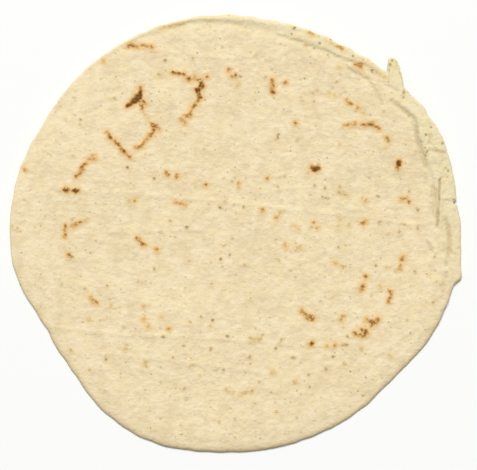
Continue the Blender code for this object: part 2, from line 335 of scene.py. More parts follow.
# %% Strokes at the left and the upper right
STROKES |= {
    "left slope, upper bar": (BROWNED, (92, 156, 0.7), (95.5, 155.2, 0.8)),
    "left slope, lower bar": (BROWNED, (89.5, 158.8, 0.7), (95, 158.4, 1)),
    "left slope": (TOASTED, (87.5, 162.5, 0.7), (84, 165.5, 1.1), (82.3, 168.5, 1.8),
        (81.3, 171.5, 1.5), (79, 174, 0.6), (76.3, 176.6, 1.5)),
    "left pair": (CHARRED, (63.8, 189.9, 0.8), (66.6, 189.8, 2.1), (69, 189, 1.5)),
    "left pair, its partner": (CHARRED, (73, 190.8, 1.7), (75.6, 190.6, 2.2), (79, 190.1, 1)),
    "left curl": (BROWNED, (80.5, 222, 0.9), (76, 224.3, 1.6), (72.5, 225.8, 1)),
    "left curl, its end": (BLUSHED, (88, 218.8, 0.8), (84, 220.5, 0.6)),
    "left curl, its bend": (BROWNED, (66, 225.5, 1.2), (65.2, 231, 0.5), (65.2, 236.3, 1.3)),
    "left of the middle": (TOASTED, (136.7, 238.3, 0.9), (140, 239.7, 1.1), (141.9, 243.1, 1.9),
        (145.2, 245, 1.2)),
    "lower left": (BROWNED, (90.6, 296.9, 1.1), (92.5, 299.5, 1), (94.4, 301.8, 1.8), (97, 303, 1)),
    "spot right of the middle": (CHARRED, (312, 167.5, 2), (314.5, 169.2, 2.8), (318.3, 168.2, 1.7)),
    "spot by the right rim": (CHARRED, (398, 162.3, 2.5), (398.3, 164.8, 2.8)),
    "below the spot": (BROWNED, (398, 167, 2), (398, 169.5, 1.7)),
    "upper right rim, one": (BLUSHED, (326, 42.2, 0.8), (331, 43.5, 1.1), (335.5, 45.7, 1.1)),
    "upper right rim, two": (BROWNED, (338, 46.5, 1), (341, 47.7, 1.7)),
    "upper right rim, three": (TOASTED, (354.5, 65.2, 0.8), (358, 65.3, 1.3), (360.2, 66, 1.9),
        (361.5, 69, 1)),
    "upper right rim, four": (BLUSHED, (374, 72.3, 1.5), (380, 75.5, 1.5), (385, 78, 1.3)),
    "top right rim": (BROWNED, (308.5, 33.2, 0.7), (312, 33.8, 1.3), (314.5, 34, 0.8)),
    "upper right bar, its start": (BROWNED, (344.5, 124.8, 0.9), (348, 125, 0.9), (352, 124.8, 0.8)),
    "upper right bar": (TOASTED, (361.5, 125, 1), (365, 125, 1.5), (368.5, 124.3, 1.4),
        (371.8, 124.3, 1.8), (374.5, 126, 1.2), (378.3, 128.4, 1.3)),
    "upper right streak": (BROWNED, (346.7, 100.9, 1.2), (349, 102.8, 1.6), (351.3, 105, 1.1)),
    "right streak": (BROWNED, (385.3, 137.2, 0.9), (387.3, 139.4, 1.5), (389, 141.8, 0.8)),
    "right of the upright": (FLECKED, (278.3, 135, 0.8), (277.3, 136.9, 1.1), (276, 139.5, 0.7)),
    "middle left dash": (BROWNED, (166.3, 173.1, 1.6), (169, 175, 0.9)),
    "middle left bar": (BROWNED, (175.5, 202.5, 0.7), (181.5, 203.4, 1.1), (185.3, 204.2, 1)),
}
print("strokes of toast:", len(STROKES))

# %% Strokes at the lower right and the bottom
STROKES |= {
    "thick chain": (BROWNED, (301.9, 310.2, 1.4), (303.5, 312.6, 1.4), (306.5, 315.4, 2.0),
        (309.5, 317.4, 2.2), (312.3, 318.4, 2.4)),
    "lower right hook, upper arm": (BROWNED, (366.3, 318.8, 1.3), (369.5, 321.5, 1.4),
        (374.4, 321.5, 2.1), (378.5, 318.3, 1.3)),
    "lower right hook, bend": (TOASTED, (374.4, 321.5, 2.1), (371.2, 325.3, 1.5)),
    "lower right hook, lower arm": (TOASTED, (361.6, 329.4, 1.4), (366.9, 331.3, 1.7),
        (362.9, 335, 1.8)),
    "lower right hook, end": (BROWNED, (362.9, 335, 1.8), (358, 334, 1.3), (354.6, 332.8, 1.8)),
    "right, lower": (TOASTED, (390, 291, 1.4), (390.4, 294, 0.8), (390.2, 296.5, 1.2),
        (389.2, 299, 0.9), (388.6, 301, 1.6)),
    "right, upper": (BROWNED, (403.1, 256.9, 1.3), (401.9, 260, 1.8)),
    "right, upper, its end": (BROWNED, (400.5, 264.5, 0.6), (399.4, 268.8, 1.4)),
    "right of the middle": (BLUSHED, (332.5, 260.8, 0.8), (337, 263.8, 0.9), (344, 266.3, 1)),
    "right arrow": (BROWNED, (401, 199.8, 0.9), (403.1, 198.8, 1.4), (406, 197.5, 0.8)),
    "right dash": (BROWNED, (361.5, 223, 0.9), (363.4, 222.3, 1.3), (365.5, 220.8, 0.9)),
    "right upper dash": (BLUSHED, (337.5, 192.5, 0.7), (342, 193, 1.4), (346.5, 194.5, 1.1),
        (348, 196, 0.6)),
    "right row": (BROWNED, (363.3, 284, 1.2), (362.3, 286.2, 1.8), (360.8, 289.2, 1.7)),
    "lower right dash": (SOOTED, (342.8, 344.5, 0.9), (345, 344.4, 1.4), (347.3, 344.7, 0.7)),
    "lower right spot": (CHARRED, (308.8, 344.2, 0.8), (311.6, 343.6, 1.7)),
    "lower smear": (BLUSHED, (251, 338.5, 1.8), (256, 338.7, 1.9), (260, 338.8, 1.5)),
    "bottom smear": (BLUSHED, (240, 394, 1.3), (245, 392, 1.3), (252.9, 391.3, 1.4)),
    "bottom smear, left": (BLUSHED, (226, 389, 1.1), (229, 391, 1.1)),
    "middle smear": (BLUSHED, (292, 226, 0.8), (296.5, 226.8, 1.1), (299, 229, 0.7)),
    "hair right of the middle": (FLECKED, (321, 196, 0.4), (324, 197.5, 0.5), (327.1, 198.4, 1.2)),
    "hair by the lip": (FLECKED, (400, 223.9, 0.5), (403.5, 223.7, 0.7), (406.5, 225.7, 0.5)),
    "curl by the lip": (FLECKED, (419, 225, 0.6), (416.8, 227, 0.8), (416.8, 229.5, 0.6)),
}
print("strokes of toast:", len(STROKES))

# %% Dots of toast
TOASTED_DOTS = (
    (177.1, 176.6, 1.3), (157.9, 249.4, 1.3), (205.9, 184.6, 1.6), (295.6, 123.1, 1.6), (285.6, 83.5, 1.3),
)
BROWNED_DOTS = (
    (336.7, 263.4, 1.2), (344, 266.3, 1.3), (239.3, 183.4, 1.2), (355.8, 123.8, 1.3),
    (357.1, 107.3, 1.3), (268.1, 178.1, 1.4), (135.4, 200.3, 1.1),
    (262.8, 210.4, 1.5), (276.9, 216.9, 1.5), (365.4, 200.4, 1.4),
    (408.8, 202.3, 1.5), (313.4, 221.9, 1.3), (318.1, 228.1, 1.2), (286, 246.9, 1.3),
    (365.9, 276.3, 1.6), (343.1, 316, 1.5), (341, 319.4, 1.1), (169.2, 328.2, 2),
    (149.4, 325.4, 1.3), (144.7, 319.3, 1.3), (70.3, 253.8, 1.4),
    (327.1, 345, 1.3), (335.2, 344.2, 1.2), (104.5, 61, 1.3), (26.6, 169.4, 1.2),
    (252.9, 391.3, 1.2),
)
BLUSHED_DOTS = (
    (238.8, 84, 1.5), (363.8, 113.8, 2), (330, 93.3, 1.1), (334.5, 95.2, 1.2), (340, 67, 1.5),
    (130.3, 201.3, 1.3), (280.3, 212, 1.3), (312, 227.5, 1.5), (285.5, 242, 1.2), (301.3, 247.5, 1.6),
    (297.5, 247, 1.2), (380.6, 286, 1.7), (387, 267, 1.4), (144.4, 305.6, 1.5), (111.9, 305, 1.2),
    (90, 319.4, 1.5), (162.5, 316.3, 1.4), (125.6, 348.8, 1.8), (146.3, 363.9, 2.2), (192.5, 364.1, 1.4),
    (273.5, 371.9, 1.9), (295.9, 381.6, 1.6), (361.5, 348.5, 1.8), (160.5, 74.5, 1.6), (305.8, 45.8, 1.2),
    (386, 147, 1.2), (239.3, 188, 1.2), (196, 183, 1.3), (340, 219.5, 1.4), (349, 224.8, 1.2),
    (338.5, 225.5, 1.2), (399.3, 170.3, 1.4), (308.5, 172, 1.2), (318.5, 164.5, 1.1), (66, 187.2, 1.2),
    (72, 257, 1.2), (86.5, 288.6, 1.2), (210.5, 325.5, 1.4), (233, 392, 1.3), (406.5, 203, 1.2),
    (362.5, 198.8, 1.1), (391, 356.5, 1.6),
)
DOTS = [(TOASTED, TOASTED_DOTS), (BROWNED, BROWNED_DOTS), (BLUSHED, BLUSHED_DOTS)]
print("dots of toast:", sum(len(dots) for _, dots in DOTS))

# %% Small grey dots
FLECKED_DOTS = (
    (295, 28.5, 1.1), (328.8, 55.2, 0.9), (256.6, 55.2, 0.7), (336.5, 82.3, 1), (302, 97.5, 0.8),
    (303, 101, 0.8), (312.5, 93.5, 0.9), (314, 102, 0.8), (340, 144.6, 1), (393.8, 58.1, 0.8),
    (390, 64.8, 1.2), (193, 58.5, 0.9), (115, 98.5, 1), (204, 148.7, 1.1), (186.5, 134, 0.8),
    (81, 125, 0.8), (81, 120, 0.7), (66, 120.5, 0.8), (165.5, 61, 1), (74.5, 156, 0.8),
    (185.5, 173.7, 0.9), (184.4, 182.3, 0.9), (209.7, 204.5, 0.9), (221.3, 206.9, 1.2),
    (224.4, 201.6, 0.9), (244, 207.2, 0.9), (223.1, 178.1, 1), (232.5, 181.8, 0.9), (234.8, 178.1, 1.1),
    (315.2, 185.6, 1.2), (325, 188, 1.2), (339.4, 186.9, 1), (339.3, 192.5, 0.7), (274, 184.8, 0.9),
    (278.5, 187, 0.8), (171.3, 221, 1), (188.1, 227.3, 1.2), (189, 260.6, 1.1), (154.8, 268.5, 1.2),
    (138.8, 281.3, 1.2), (107.5, 285.6, 1.1), (107.8, 316.3, 1.1), (84.4, 288.5, 1.1), (41.9, 305.9, 1),
    (190, 321.5, 1.1), (38.5, 233.8, 1.1), (18.4, 227.1, 1), (380, 221.3, 1.1), (223.8, 245.6, 1.2),
    (230.3, 254.6, 1.2), (221, 259, 1), (233.2, 239, 0.9), (279, 259.5, 0.9), (291, 270, 0.9),
    (255, 250, 0.7), (245, 264.5, 0.9), (250.3, 300, 1), (211.5, 284, 1), (375.4, 265, 1.1),
    (414.4, 270.6, 1.3), (434.6, 256.6, 1.3), (435.9, 281.3, 1.3), (431, 274, 0.7), (432.9, 301.9, 1.2),
    (408.7, 191, 0.9), (388.5, 233, 0.9), (338, 247, 1), (415, 151.2, 0.8), (333.5, 297, 0.8),
    (202, 316.5, 1.1), (71, 350.3, 0.9), (127, 344.3, 0.8), (106.5, 358, 1.2), (163.8, 335.9, 1.2),
    (184.8, 388.1, 1), (174, 357, 1), (184, 345.5, 1.1), (200.6, 374.5, 0.8), (210.8, 348.8, 1.3),
    (228, 335.7, 1.2), (262.7, 335.3, 0.8), (282.9, 338.8, 1.3), (280.8, 343, 0.7), (276.3, 348.5, 1.3),
    (250.4, 355.6, 1.2), (250.5, 364, 0.9), (293.5, 357.8, 1.4), (325.5, 354.5, 1),
    (333.5, 356.5, 0.9), (344.6, 362.9, 1.1), (309.5, 387, 1), (259.8, 381.6, 1.2), (276.5, 411, 1.2),
    (219.8, 421, 1), (217, 370, 0.7), (224, 369.5, 0.9), (348.1, 336, 1.1), (344, 327.5, 1),
    (363.5, 394.8, 0.9), (427.5, 151.5, 0.8), (72.9, 256.5, 0.9), (73.5, 219, 0.8), (271, 391.5, 0.7),
    (255, 402, 0.7), (90, 369, 0.8), (404, 92.9, 1.5), (377.9, 196.6, 1.3), (128.1, 167.5, 1.3),
    (155, 178.5, 1.2), (417.9, 209.4, 1.3), (399, 231.3, 1.2), (309, 374.7, 1.4), (326.5, 368.8, 1.3),
    (371.9, 71.5, 1.6), (266.2, 77.1, 1.3), (240.7, 76, 1.2), (318, 90.4, 1.3), (213.1, 320, 1.6),
)

DOTS.append((FLECKED, FLECKED_DOTS))
print("small grey dots:", len(FLECKED_DOTS))

# %% [markdown]
# The other face can't be seen in the picture. It lay on the griddle first and toasted a little more
# evenly, so a seeded rule scatters short chains all over it. All the marks then become one mesh of plain
# edges, one face's high above the sheet and the other's deep below it, so that each face finds its own.

# %% Marks of the face that shows
DOT_LENGTH = 0.8  # a dot is a stroke of this many pixels


def stroke(kind, points):
    """A stroke as (kind, [(x, y, half width)]) in millimetres."""
    return kind, [(*on_sheet(across, down), half * MM_PER_PIXEL) for across, down, half in points]


def strokes_above():
    found = [stroke(kind, points) for kind, *points in STROKES.values()]
    for kind, dots in DOTS:
        for across, down, half in dots:
            ends = [(across + turn * DOT_LENGTH / 2, down, half) for turn in (-1, 1)]
            found.append(stroke(kind, ends))
    return found


print("marks above:", len(strokes_above()))

# %% Marks of the face on the table
CHAIN_SEED = 31
CHAINS = 150
CHAINS_REACH = 70.0
CHAIN_KINDS = (CHARRED, TOASTED, TOASTED, BROWNED, BLUSHED, BLUSHED, FLECKED)
CHAIN_STEPS = (1, 1, 1, 2, 4)
CHAIN_STEP_LENGTHS = (0.4, 2.2)
CHAIN_BEND = 0.7
CHAIN_HALF_WIDTHS = (0.3, 0.65)
CHAIN_UNEVENNESS = (0.5, 1.4)


def strokes_below():
    """Seeded chains all over the face on the table."""
    draw = random.Random(CHAIN_SEED)
    found = []
    for _ in range(CHAINS):
        reach = CHAINS_REACH * math.sqrt(draw.random())
        heading = draw.uniform(0.0, math.tau)
        x, y = reach * math.cos(heading), reach * math.sin(heading)
        kind = draw.choice(CHAIN_KINDS)
        course = draw.uniform(0.0, math.tau)
        half = draw.uniform(*CHAIN_HALF_WIDTHS)
        points = [(x, y, half)]
        for _ in range(draw.choice(CHAIN_STEPS)):
            course += draw.uniform(-CHAIN_BEND, CHAIN_BEND)
            step = draw.uniform(*CHAIN_STEP_LENGTHS)
            x, y = x + step * math.cos(course), y + step * math.sin(course)
            points.append((x, y, half * draw.uniform(*CHAIN_UNEVENNESS)))
        found.append((kind, points))
    return found


print("marks below:", len(strokes_below()))

# %% Marks as a mesh of edges
ABOVE = 10.0  # the strokes of each face are laid this far above or below the sheet
BELOW = -10.0


def lay_strokes(name, layers):
    """Strokes as one mesh of edges. Each point knows its stroke's strength, its glow and how wide it is."""
    points, edges, darks, glows, girths = [], [], [], [], []
    for height, strokes in layers:
        for (dark, glow), line in strokes:
            first = len(points)
            points += [(x, y, height) for x, y, _ in line]
            edges += [(n, n + 1) for n in range(first, len(points) - 1)]
            darks += [dark] * len(line)
            glows += [glow] * len(line)
            girths += [half for _, _, half in line]
    mesh = bpy.data.meshes.new(name)
    mesh.from_pydata(points, edges, [])
    for label, values in (("dark", darks), ("glow", glows), ("girth", girths)):
        mesh.attributes.new(label, "FLOAT", "POINT").data.foreach_set("value", values)
    return placed(name, mesh)


toast_strokes = lay_strokes("toast_strokes", ((ABOVE, strokes_above()), (BELOW, strokes_below())))
print("the marks have", len(toast_strokes.data.edges), "edges")

# %% [markdown]
# ## Creases
#
# The dough was folded and pressed flat again in a few places, which left long low ridges across the
# sheet. Each follows a line, so the lines are laid as the strokes were, and the press raises the dough
# along them.

# %% Lines of the creases
CREASE_WIDTH = 1.0
CREASES = {  # in the picture's pixels, as the strokes are
    "upper long crease": ((50.7, 187.7), (130.8, 193.5), (233.8, 202.6), (320.6, 212.6), (420.7, 224.6)),
    "lower long crease": ((50.7, 326.8), (133.7, 334.7), (233.8, 339.7), (333.8, 346.7)),
    "short crease": ((110.9, 232.6), (200.6, 229.6)),
    "top crease": ((150.8, 49.8), (233.8, 59.7)),
    "low crease": ((95.9, 351.7), (180.7, 361.7), (260.8, 371.6)),
    "lower right crease": ((370, 358), (388, 348), (402, 337), (411, 331)),
    "crease by the lower right rim": ((400, 357), (417, 338), (427, 324)),
}


def plain_stroke(strength, half_width, points):
    """A stroke of one width all along, given in millimetres."""
    return (strength, 0.0), [(*on_sheet(*point), half_width) for point in points]


crease_strokes = [plain_stroke(1.0, CREASE_WIDTH, line) for line in CREASES.values()]
crease_lines = lay_strokes("crease_lines", ((0.0, crease_strokes),))
print("creases:", ", ".join(CREASES))

# %% [markdown]
# ## Folds behind the lip
#
# Where the rim was turned over, the dough didn't close: soft folds run along the top, and on the right
# they break up into strands with dark slits between them. The lines run clockwise round the sheet, so the
# lip is on their left hand. The press can then tell from a line's own heading which side of the fold a
# point lies on.

# %% Lines of the folds
FOLD = (0.50, 0.95)  # a share of the full depth, and half the width in millimetres
LONG_FOLD = (0.60, 0.90)
SOFT_FOLD = (0.32, 1.30)
DEEP_FOLD = (0.95, 0.85)
STRAND = (0.80, 0.75)
SLIT = (1.25, 0.45)
SPLIT = (0.6, 0.45)
FOLDS = {  # in the picture's pixels
    "along the top, its start": (SOFT_FOLD, (130.5, 46), (146, 36.5), (161, 29.3), (180, 24)),
    "along the top": (LONG_FOLD, (180, 24.5), (191, 22.6), (206, 21.8), (221, 22.3), (236, 23.8),
        (250.5, 24.6), (265, 27.8), (276, 29.6)),
    "along the top, its end": (SOFT_FOLD, (276, 29.6), (284, 31.2), (293, 33.2)),
    "inside the top right": (SOFT_FOLD, (280, 36.5), (291.5, 39.6), (305, 44), (317.5, 50), (331, 57),
        (346, 68)),
    "inner strand": (STRAND, (348, 68.5), (354, 73), (363, 78), (369, 81), (374, 88), (377.5, 95),
        (381, 104)),
    "short strand": (STRAND, (387, 85.5), (397, 91)),
    "outer strand": (DEEP_FOLD, (391, 101.5), (399, 107.5), (406.5, 113.5), (413, 118.5), (416, 126),
        (416.3, 136), (418, 145), (421, 153.5), (423.3, 161), (425, 167)),
    "beside the strand": (STRAND, (430, 136.5), (429.7, 143)),
    "across the lip": (STRAND, (429, 150.4), (443, 153)),
    "right of the strand": (FOLD, (441, 156), (442, 162), (439.5, 168)),
    "below the strand": (FOLD, (424.5, 176), (427, 186)),
    "beside the slit": (STRAND, (432.5, 188), (433.7, 200), (433.5, 216)),
    "slit": (SLIT, (440, 180), (439, 191), (438.2, 202), (437.5, 213), (436.6, 226)),
    "between the slit and the rim": (FOLD, (444.5, 171), (445.5, 183)),
    "split in the rim": (SPLIT, (445.5, 200.3), (456, 201)),
    "end of the lip": (DEEP_FOLD, (445.5, 220), (448, 232), (449.5, 245), (448.5, 256), (446, 264)),
    "behind the end of the lip": (STRAND, (428, 243), (431, 252)),
    "past the end of the lip": (STRAND, (446, 274), (444, 284), (442, 298)),
}
fold_strokes = [plain_stroke(*kind, line) for kind, *line in FOLDS.values()]
fold_lines = lay_strokes("fold_lines", ((0.0, fold_strokes),))
print("folds:", ", ".join(FOLDS))

# %% [markdown]
# ## The outline
#
# A press squeezes the dough into a near circle. The true outline departs from an ellipse in a dozen
# places, where the dough ran out further or less far. Each place is one soft bell, given by its
# direction, its half width and how far it reaches, so the whole rim is one sum. A traced line would
# need hundreds of points and would say nothing of why the rim bends.

# %% Swells and flats of the outline
WIDTH = 153.9
DEPTH = 148.8
OUTLINE_SWELLS = {
    "right hollow": (8.0, 8.0, -0.90),
    "right shoulder": (27.0, 11.0, 0.90),
    "upper right flat": (62.0, 15.0, -1.40),
    "top right flat": (81.0, 8.0, -0.75),
    "top left swell": (112.0, 22.0, 0.55),
    "upper left flat": (150.0, 10.0, -0.85),
    "lower left flat": (204.5, 11.0, -3.65),
    "lower left straight": (219.5, 9.5, -2.70),
    "lower left shoulder": (248.0, 13.0, 1.75),
    "bottom right flat": (297.0, 15.0, -0.95),
    "lower right flat": (318.0, 13.0, -2.70),
    "right end of the flat": (340.0, 10.0, -0.85),
    "right, past the end of the lip": (355.0, 5.0, -0.60),
}
LIP_MIDDLE = 44.0  # the lip is a bell round the rim as well, cut off at its lower end
LIP_HALF_SPAN = 66.0
LIP_END = -11.7
LIP_END_STEP = 1.9


def smooth_rim(plan, across, along, direction):
    """Distance from the middle to the rim, in millimetres, towards (across, along)."""
    half_w, half_d = WIDTH / 2, DEPTH / 2
    stretch = (half_d * across) ** 2.0 + (half_w * along) ** 2.0
    reach = half_w * half_d / plan.sum("SQRT", stretch)
    return plan.swell(direction, OUTLINE_SWELLS.values(), reach)


def along_lip(plan, direction):
    """1 on the turned lip and 0 on the plain rim."""
    started = plan.ease(plan.turn(direction, LIP_END), -LIP_END_STEP, LIP_END_STEP)
    return plan.bell(plan.turn(direction, LIP_MIDDLE), LIP_HALF_SPAN) * started


print("the outline has", len(OUTLINE_SWELLS), "swells and flats")

# %% Small detail of the rim
LIP_END_REACH = 2.6  # how far the lip's lower end stands out, and over how many degrees that fades
LIP_END_FADE = 5.0
SPLIT_DIRECTION = 8.0
RIM_NICKS = ((SPLIT_DIRECTION, 0.55, 1.4), (207.6, 1.9, 0.40))
UNEVEN_SEED = 5
UNEVEN_WAVES = 7
UNEVEN_COUNTS = (23, 71)
UNEVEN_SIZE = 0.035
UNEVEN_ON_LIP = 0.05
RAGGED_SIZES = (2.6, 1.1)  # the finer unevenness of the rim, in two lengths
RAGGED_REACH = 0.22
RAGGED_ON_LIP = 0.50


def rim_step(plan, across, along, direction, on_lip):
    """The small detail of the rim, as a step outwards."""
    past_end = plan.turn(direction, LIP_END)
    fading = plan.sum("EXPONENT", -(plan.sum("MAXIMUM", past_end, 0.0) / LIP_END_FADE))
    step = LIP_END_REACH * plan.ease(past_end, -LIP_END_STEP, LIP_END_STEP) * fading
    step = step - plan.swell(direction, RIM_NICKS)
    draw = random.Random(UNEVEN_SEED)
    radians = plan.sum("RADIANS", direction)
    size = UNEVEN_SIZE + UNEVEN_ON_LIP * on_lip
    for _ in range(UNEVEN_WAVES):
        count, start = draw.randint(*UNEVEN_COUNTS), draw.uniform(0, math.tau)
        step = step + size * plan.sum("SINE", radians * count + start)
    size = RAGGED_REACH + RAGGED_ON_LIP * on_lip
    for length in RAGGED_SIZES:
        place = plan.vector(across * (WIDTH / 2), along * (WIDTH / 2), length)
        step = step + size * length / RAGGED_SIZES[0] * plan.waver(place, length)
    return step


print("the rim has", len(RIM_NICKS), "nicks and", UNEVEN_WAVES, "waves")

# %% [markdown]
# At the upper right a tuft of dough was squeezed out and curled over. It is blunt and narrow, and it leans
# to one side, so it isn't a bell. The points of the rim are drawn together towards it, as its sides are
# steep, and then pushed out along its own leaning direction.

# %% The tuft's outline
TUFT_DIRECTION = 43.75
TUFT_HALF_WIDTH = 2.85  # degrees
TUFT_BLUNTNESS = 3.0
TUFT_ROUNDING = 0.16
TUFT_ROOT = 4.6
TUFT_CROWDING = (5.0, 10.0)
TUFT_FADE = (2.6, 8.0)
RIM_ROUNDING = 0.8


def round_tuft(plan, direction, inwards):
    """A direction drawn towards the tuft, so that points crowd round its outline.

    Returns it with where it lies across the tuft, from -1 at its left side to 1 at its right, and how far
    the tuft reaches there, as a share.
    """
    off = -plan.turn(direction, TUFT_DIRECTION)
    away, side = plan.sum("ABSOLUTE", off), plan.sum("SIGN", off)
    near, far = TUFT_CROWDING
    corner = plan.sum("MINIMUM", away / near, 1.0) * (math.pi / 2)
    across = plan.sum("SINE", corner) ** (2.0 / TUFT_BLUNTNESS)
    blunt = plan.sum("MAXIMUM", plan.sum("COSINE", corner), 0.0) ** (2.0 / TUFT_BLUNTNESS)
    half_width = TUFT_HALF_WIDTH * (1 - TUFT_ROUNDING * plan.ease(inwards, 0.0, RIM_ROUNDING))
    drawn_to = half_width * across + (far - half_width) * plan.sum("MAXIMUM", away - near, 0.0) / (far - near)
    drawn = (drawn_to - away) * plan.sum("LESS_THAN", away, far) * plan.fade(inwards, *TUFT_FADE)
    reach = blunt * plan.fade(inwards, RIM_ROUNDING, TUFT_ROOT)
    return direction - drawn * side, across * side, reach


print("the tuft is about", round(math.radians(2 * TUFT_HALF_WIDTH) * SHEET_RADIUS, 1), "mm wide")

# %% From a distance off the rim to a place in the sheet
TUFT_REACH = 7.5
TUFT_SLOPE = 1.9  # how much further it reaches at its right side than in its middle
TUFT_LEAN = 97.0
TUFT_NARROWING = 2.0
TUFT_TURN = (3.0, 11.0)
TUFT_CRUMBLE = (1.4, 1.6)  # how far its outline wanders, and the size of its crumbs
TUFT_CRUMBLE_FULL = 0.5
TUFT_LAYERS = (51.0, 57.0)  # noise is read at a height of its own for each use, so that none repeats
DETAIL_FADE = 6.0


def place_from_rim(plan, direction, inwards, on_lip):
    """A place in the sheet this far inwards from the rim, and its own direction."""
    direction, across, tuft = round_tuft(plan, direction, inwards)
    angle = plan.sum("RADIANS", direction)
    out_x, out_y = plan.sum("COSINE", angle), plan.sum("SINE", angle)
    kept = plan.sum("MAXIMUM", 1 - inwards / DETAIL_FADE, 0.0) ** 2.0
    distance = smooth_rim(plan, out_x, out_y, direction) - inwards
    distance = distance + rim_step(plan, out_x, out_y, direction, on_lip) * kept
    lean = plan.sum("RADIANS", TUFT_LEAN + TUFT_NARROWING * across)
    off_tuft = plan.sum("ABSOLUTE", plan.turn(direction, TUFT_DIRECTION))
    turned = inwards * plan.fade(off_tuft, *TUFT_TURN) * plan.fade(inwards, *TUFT_FADE)
    leaning = (TUFT_REACH + TUFT_SLOPE * across) * tuft - turned
    x = out_x * (distance + turned) + plan.sum("COSINE", lean) * leaning
    y = out_y * (distance + turned) + plan.sum("SINE", lean) * leaning
    reach, size = TUFT_CRUMBLE
    crumbly = reach * plan.ease(tuft, 0.0, TUFT_CRUMBLE_FULL)
    x = x + crumbly * plan.waver(plan.vector(x, y, TUFT_LAYERS[0]), size)
    y = y + crumbly * plan.waver(plan.vector(x, y, TUFT_LAYERS[1]), size)
    return x, y, direction


print("the tuft stands out by", TUFT_REACH, "mm")

# %% [markdown]
# ## The lie of the sheet
#
# The sheet rests on the table over most of its middle, waves softly off it, and curls up at the rim in
# three places. It is thinnest at the rim, where the dough ran out, and puffed up a little between the
# marks. Along the upper right the rim was turned over, so a lip stands there with a groove behind it.

# %% How far it stands off the table
RIM_LIFTS = {
    "upper right": (42.0, 34.0, 1.5),
    "bottom": (266.0, 36.0, 0.3),
    "left": (170.0, 24.0, 0.7),
}
LIFT_STARTS = 0.55
LIFT_STEEPENING = 1.5
SHEET_WAVES = ((22.0, 88.0, 0.60, 215.0), (97.0, 61.0, 0.45, 290.0))
WAVE_SUNK = 0.40


def lift_off_table(plan, x, y, direction, share):
    """How far the underside stands off the table, in millimetres."""
    height = -WAVE_SUNK
    for heading, length, size, start in SHEET_WAVES:
        turn = math.radians(heading)
        travelled = x * math.cos(turn) + y * math.sin(turn)
        height = height + size * plan.sum("SINE", travelled * (math.tau / length) + math.radians(start))
    curl = plan.swell(direction, RIM_LIFTS.values())
    return plan.sum("MAXIMUM", height, 0.0) + curl * plan.ease(share, LIFT_STARTS, 1.0) ** LIFT_STEEPENING


print("the sheet curls up at its rim:", ", ".join(RIM_LIFTS))

# %% How thick it is
THICKNESS = 1.7
RIM_THICKNESS = 1.25
RIM_TAPER = 7.0
RIM_THINNINGS = {
    "bottom": (268.0, 42.0, 0.90),
    "lower left": (212.0, 16.0, 0.45),
    "lower right": (324.0, 20.0, 0.45),
}
RIM_THINNING_REACH = 2.6
PUFFS = (  # where each is, its radius and its height
    (-23.5, 46.0, 8.0, 0.55),
    (-35.5, 37.5, 7.0, 0.50),
    (-55.0, 9.5, 8.0, 0.35),
    (21.0, 41.0, 9.5, 0.35),
    (40.0, 22.0, 9.0, 0.40),
    (2.0, 5.0, 11.0, 0.30),
    (36.0, -19.0, 8.0, 0.35),
    (-18.0, -27.0, 10.0, 0.35),
)
PUFF_SOFTNESS = 1.6


def dough_thickness(plan, x, y, direction, inwards):
    """The sheet's own thickness with its puffs, and a mask for painted shade where the lower rim ran out
    thin.
    """
    thick = RIM_THICKNESS + (THICKNESS - RIM_THICKNESS) * plan.ease(inwards, 0.0, RIM_TAPER)
    thinner = plan.swell(direction, RIM_THINNINGS.values())
    near_rim = plan.sum("MAXIMUM", 1 - inwards / RIM_THINNING_REACH, 0.0)
    thick = thick - thinner * (1 - plan.sum("SQRT", 1 - near_rim * near_rim))
    for *middle, radius, height in PUFFS:
        thick = thick + height * plan.bell(plan.away(x, y, middle), radius / PUFF_SOFTNESS)
    # the second number is a mask for painted shade on the thinned lower rim, the side turned away from the
    # light
    return thick, thinner * near_rim * near_rim


print("the sheet is", THICKNESS, "mm thick, with", len(PUFFS), "puffs")

# %% The lip
LIP_WIDTH = 1.8
LIP_WIDENINGS = {
    "right": (18.0, 34.0, 6.2),
    "by the tuft": (47.0, 9.0, -2.6),
    "top right": (72.0, 16.0, 3.0),
    "top": (94.0, 10.0, 0.9),
}
LIP_RISE = 0.42
LIP_GROOVE = 0.25
LIP_SHOULDER = 1.4
LIP_EDGE = 0.9
LIP_BAND = (-2.2, 1.0)
LIP_PLAIN_BY_TUFT = (3.5, 9.0)
LIP_WANDER = (2.4, 11.0)  # how far its inner edge wanders, and in what lengths
LIP_WANDER_LAYER = 40.0


def lip_and_groove(plan, x, y, direction, inwards, on_lip):
    """The height of the turned lip over the sheet, and a mask that is 1 on its band and on the tuft."""
    reach, length = LIP_WANDER
    wander = reach * plan.waver(plan.vector(x, y, LIP_WANDER_LAYER), length, detail=3.0)
    width = plan.swell(direction, LIP_WIDENINGS.values(), LIP_WIDTH) + wander
    from_groove = (width - inwards) / LIP_SHOULDER
    lip = LIP_RISE * plan.ease(from_groove, 0.0, LIP_EDGE)
    groove = LIP_GROOVE * plan.sum("MAXIMUM", 1 - plan.sum("ABSOLUTE", from_groove), 0.0)
    past_tuft = plan.turn(direction, TUFT_DIRECTION)
    off_tuft = plan.ease(plan.sum("ABSOLUTE", past_tuft), *LIP_PLAIN_BY_TUFT)
    on_tuft = plan.bell(past_tuft, TUFT_HALF_WIDTH) * plan.fade(inwards, *TUFT_FADE)
    crumbly = plan.sum("MAXIMUM", on_lip * plan.ease(from_groove, *LIP_BAND), on_tuft)
    return on_lip * (lip - groove) * off_tuft, crumbly


print("the lip is wider or narrower:", ", ".join(LIP_WIDENINGS))

# %% [markdown]
# ## The skin
#
# Drying on the griddle shrinks the face into fine wrinkles, most of them running across, like crepe
# paper. Noise that is stretched sideways gives them. On top go rounder pebbles, and each toasted chain
# stands a little proud, because those were the places that touched the metal.

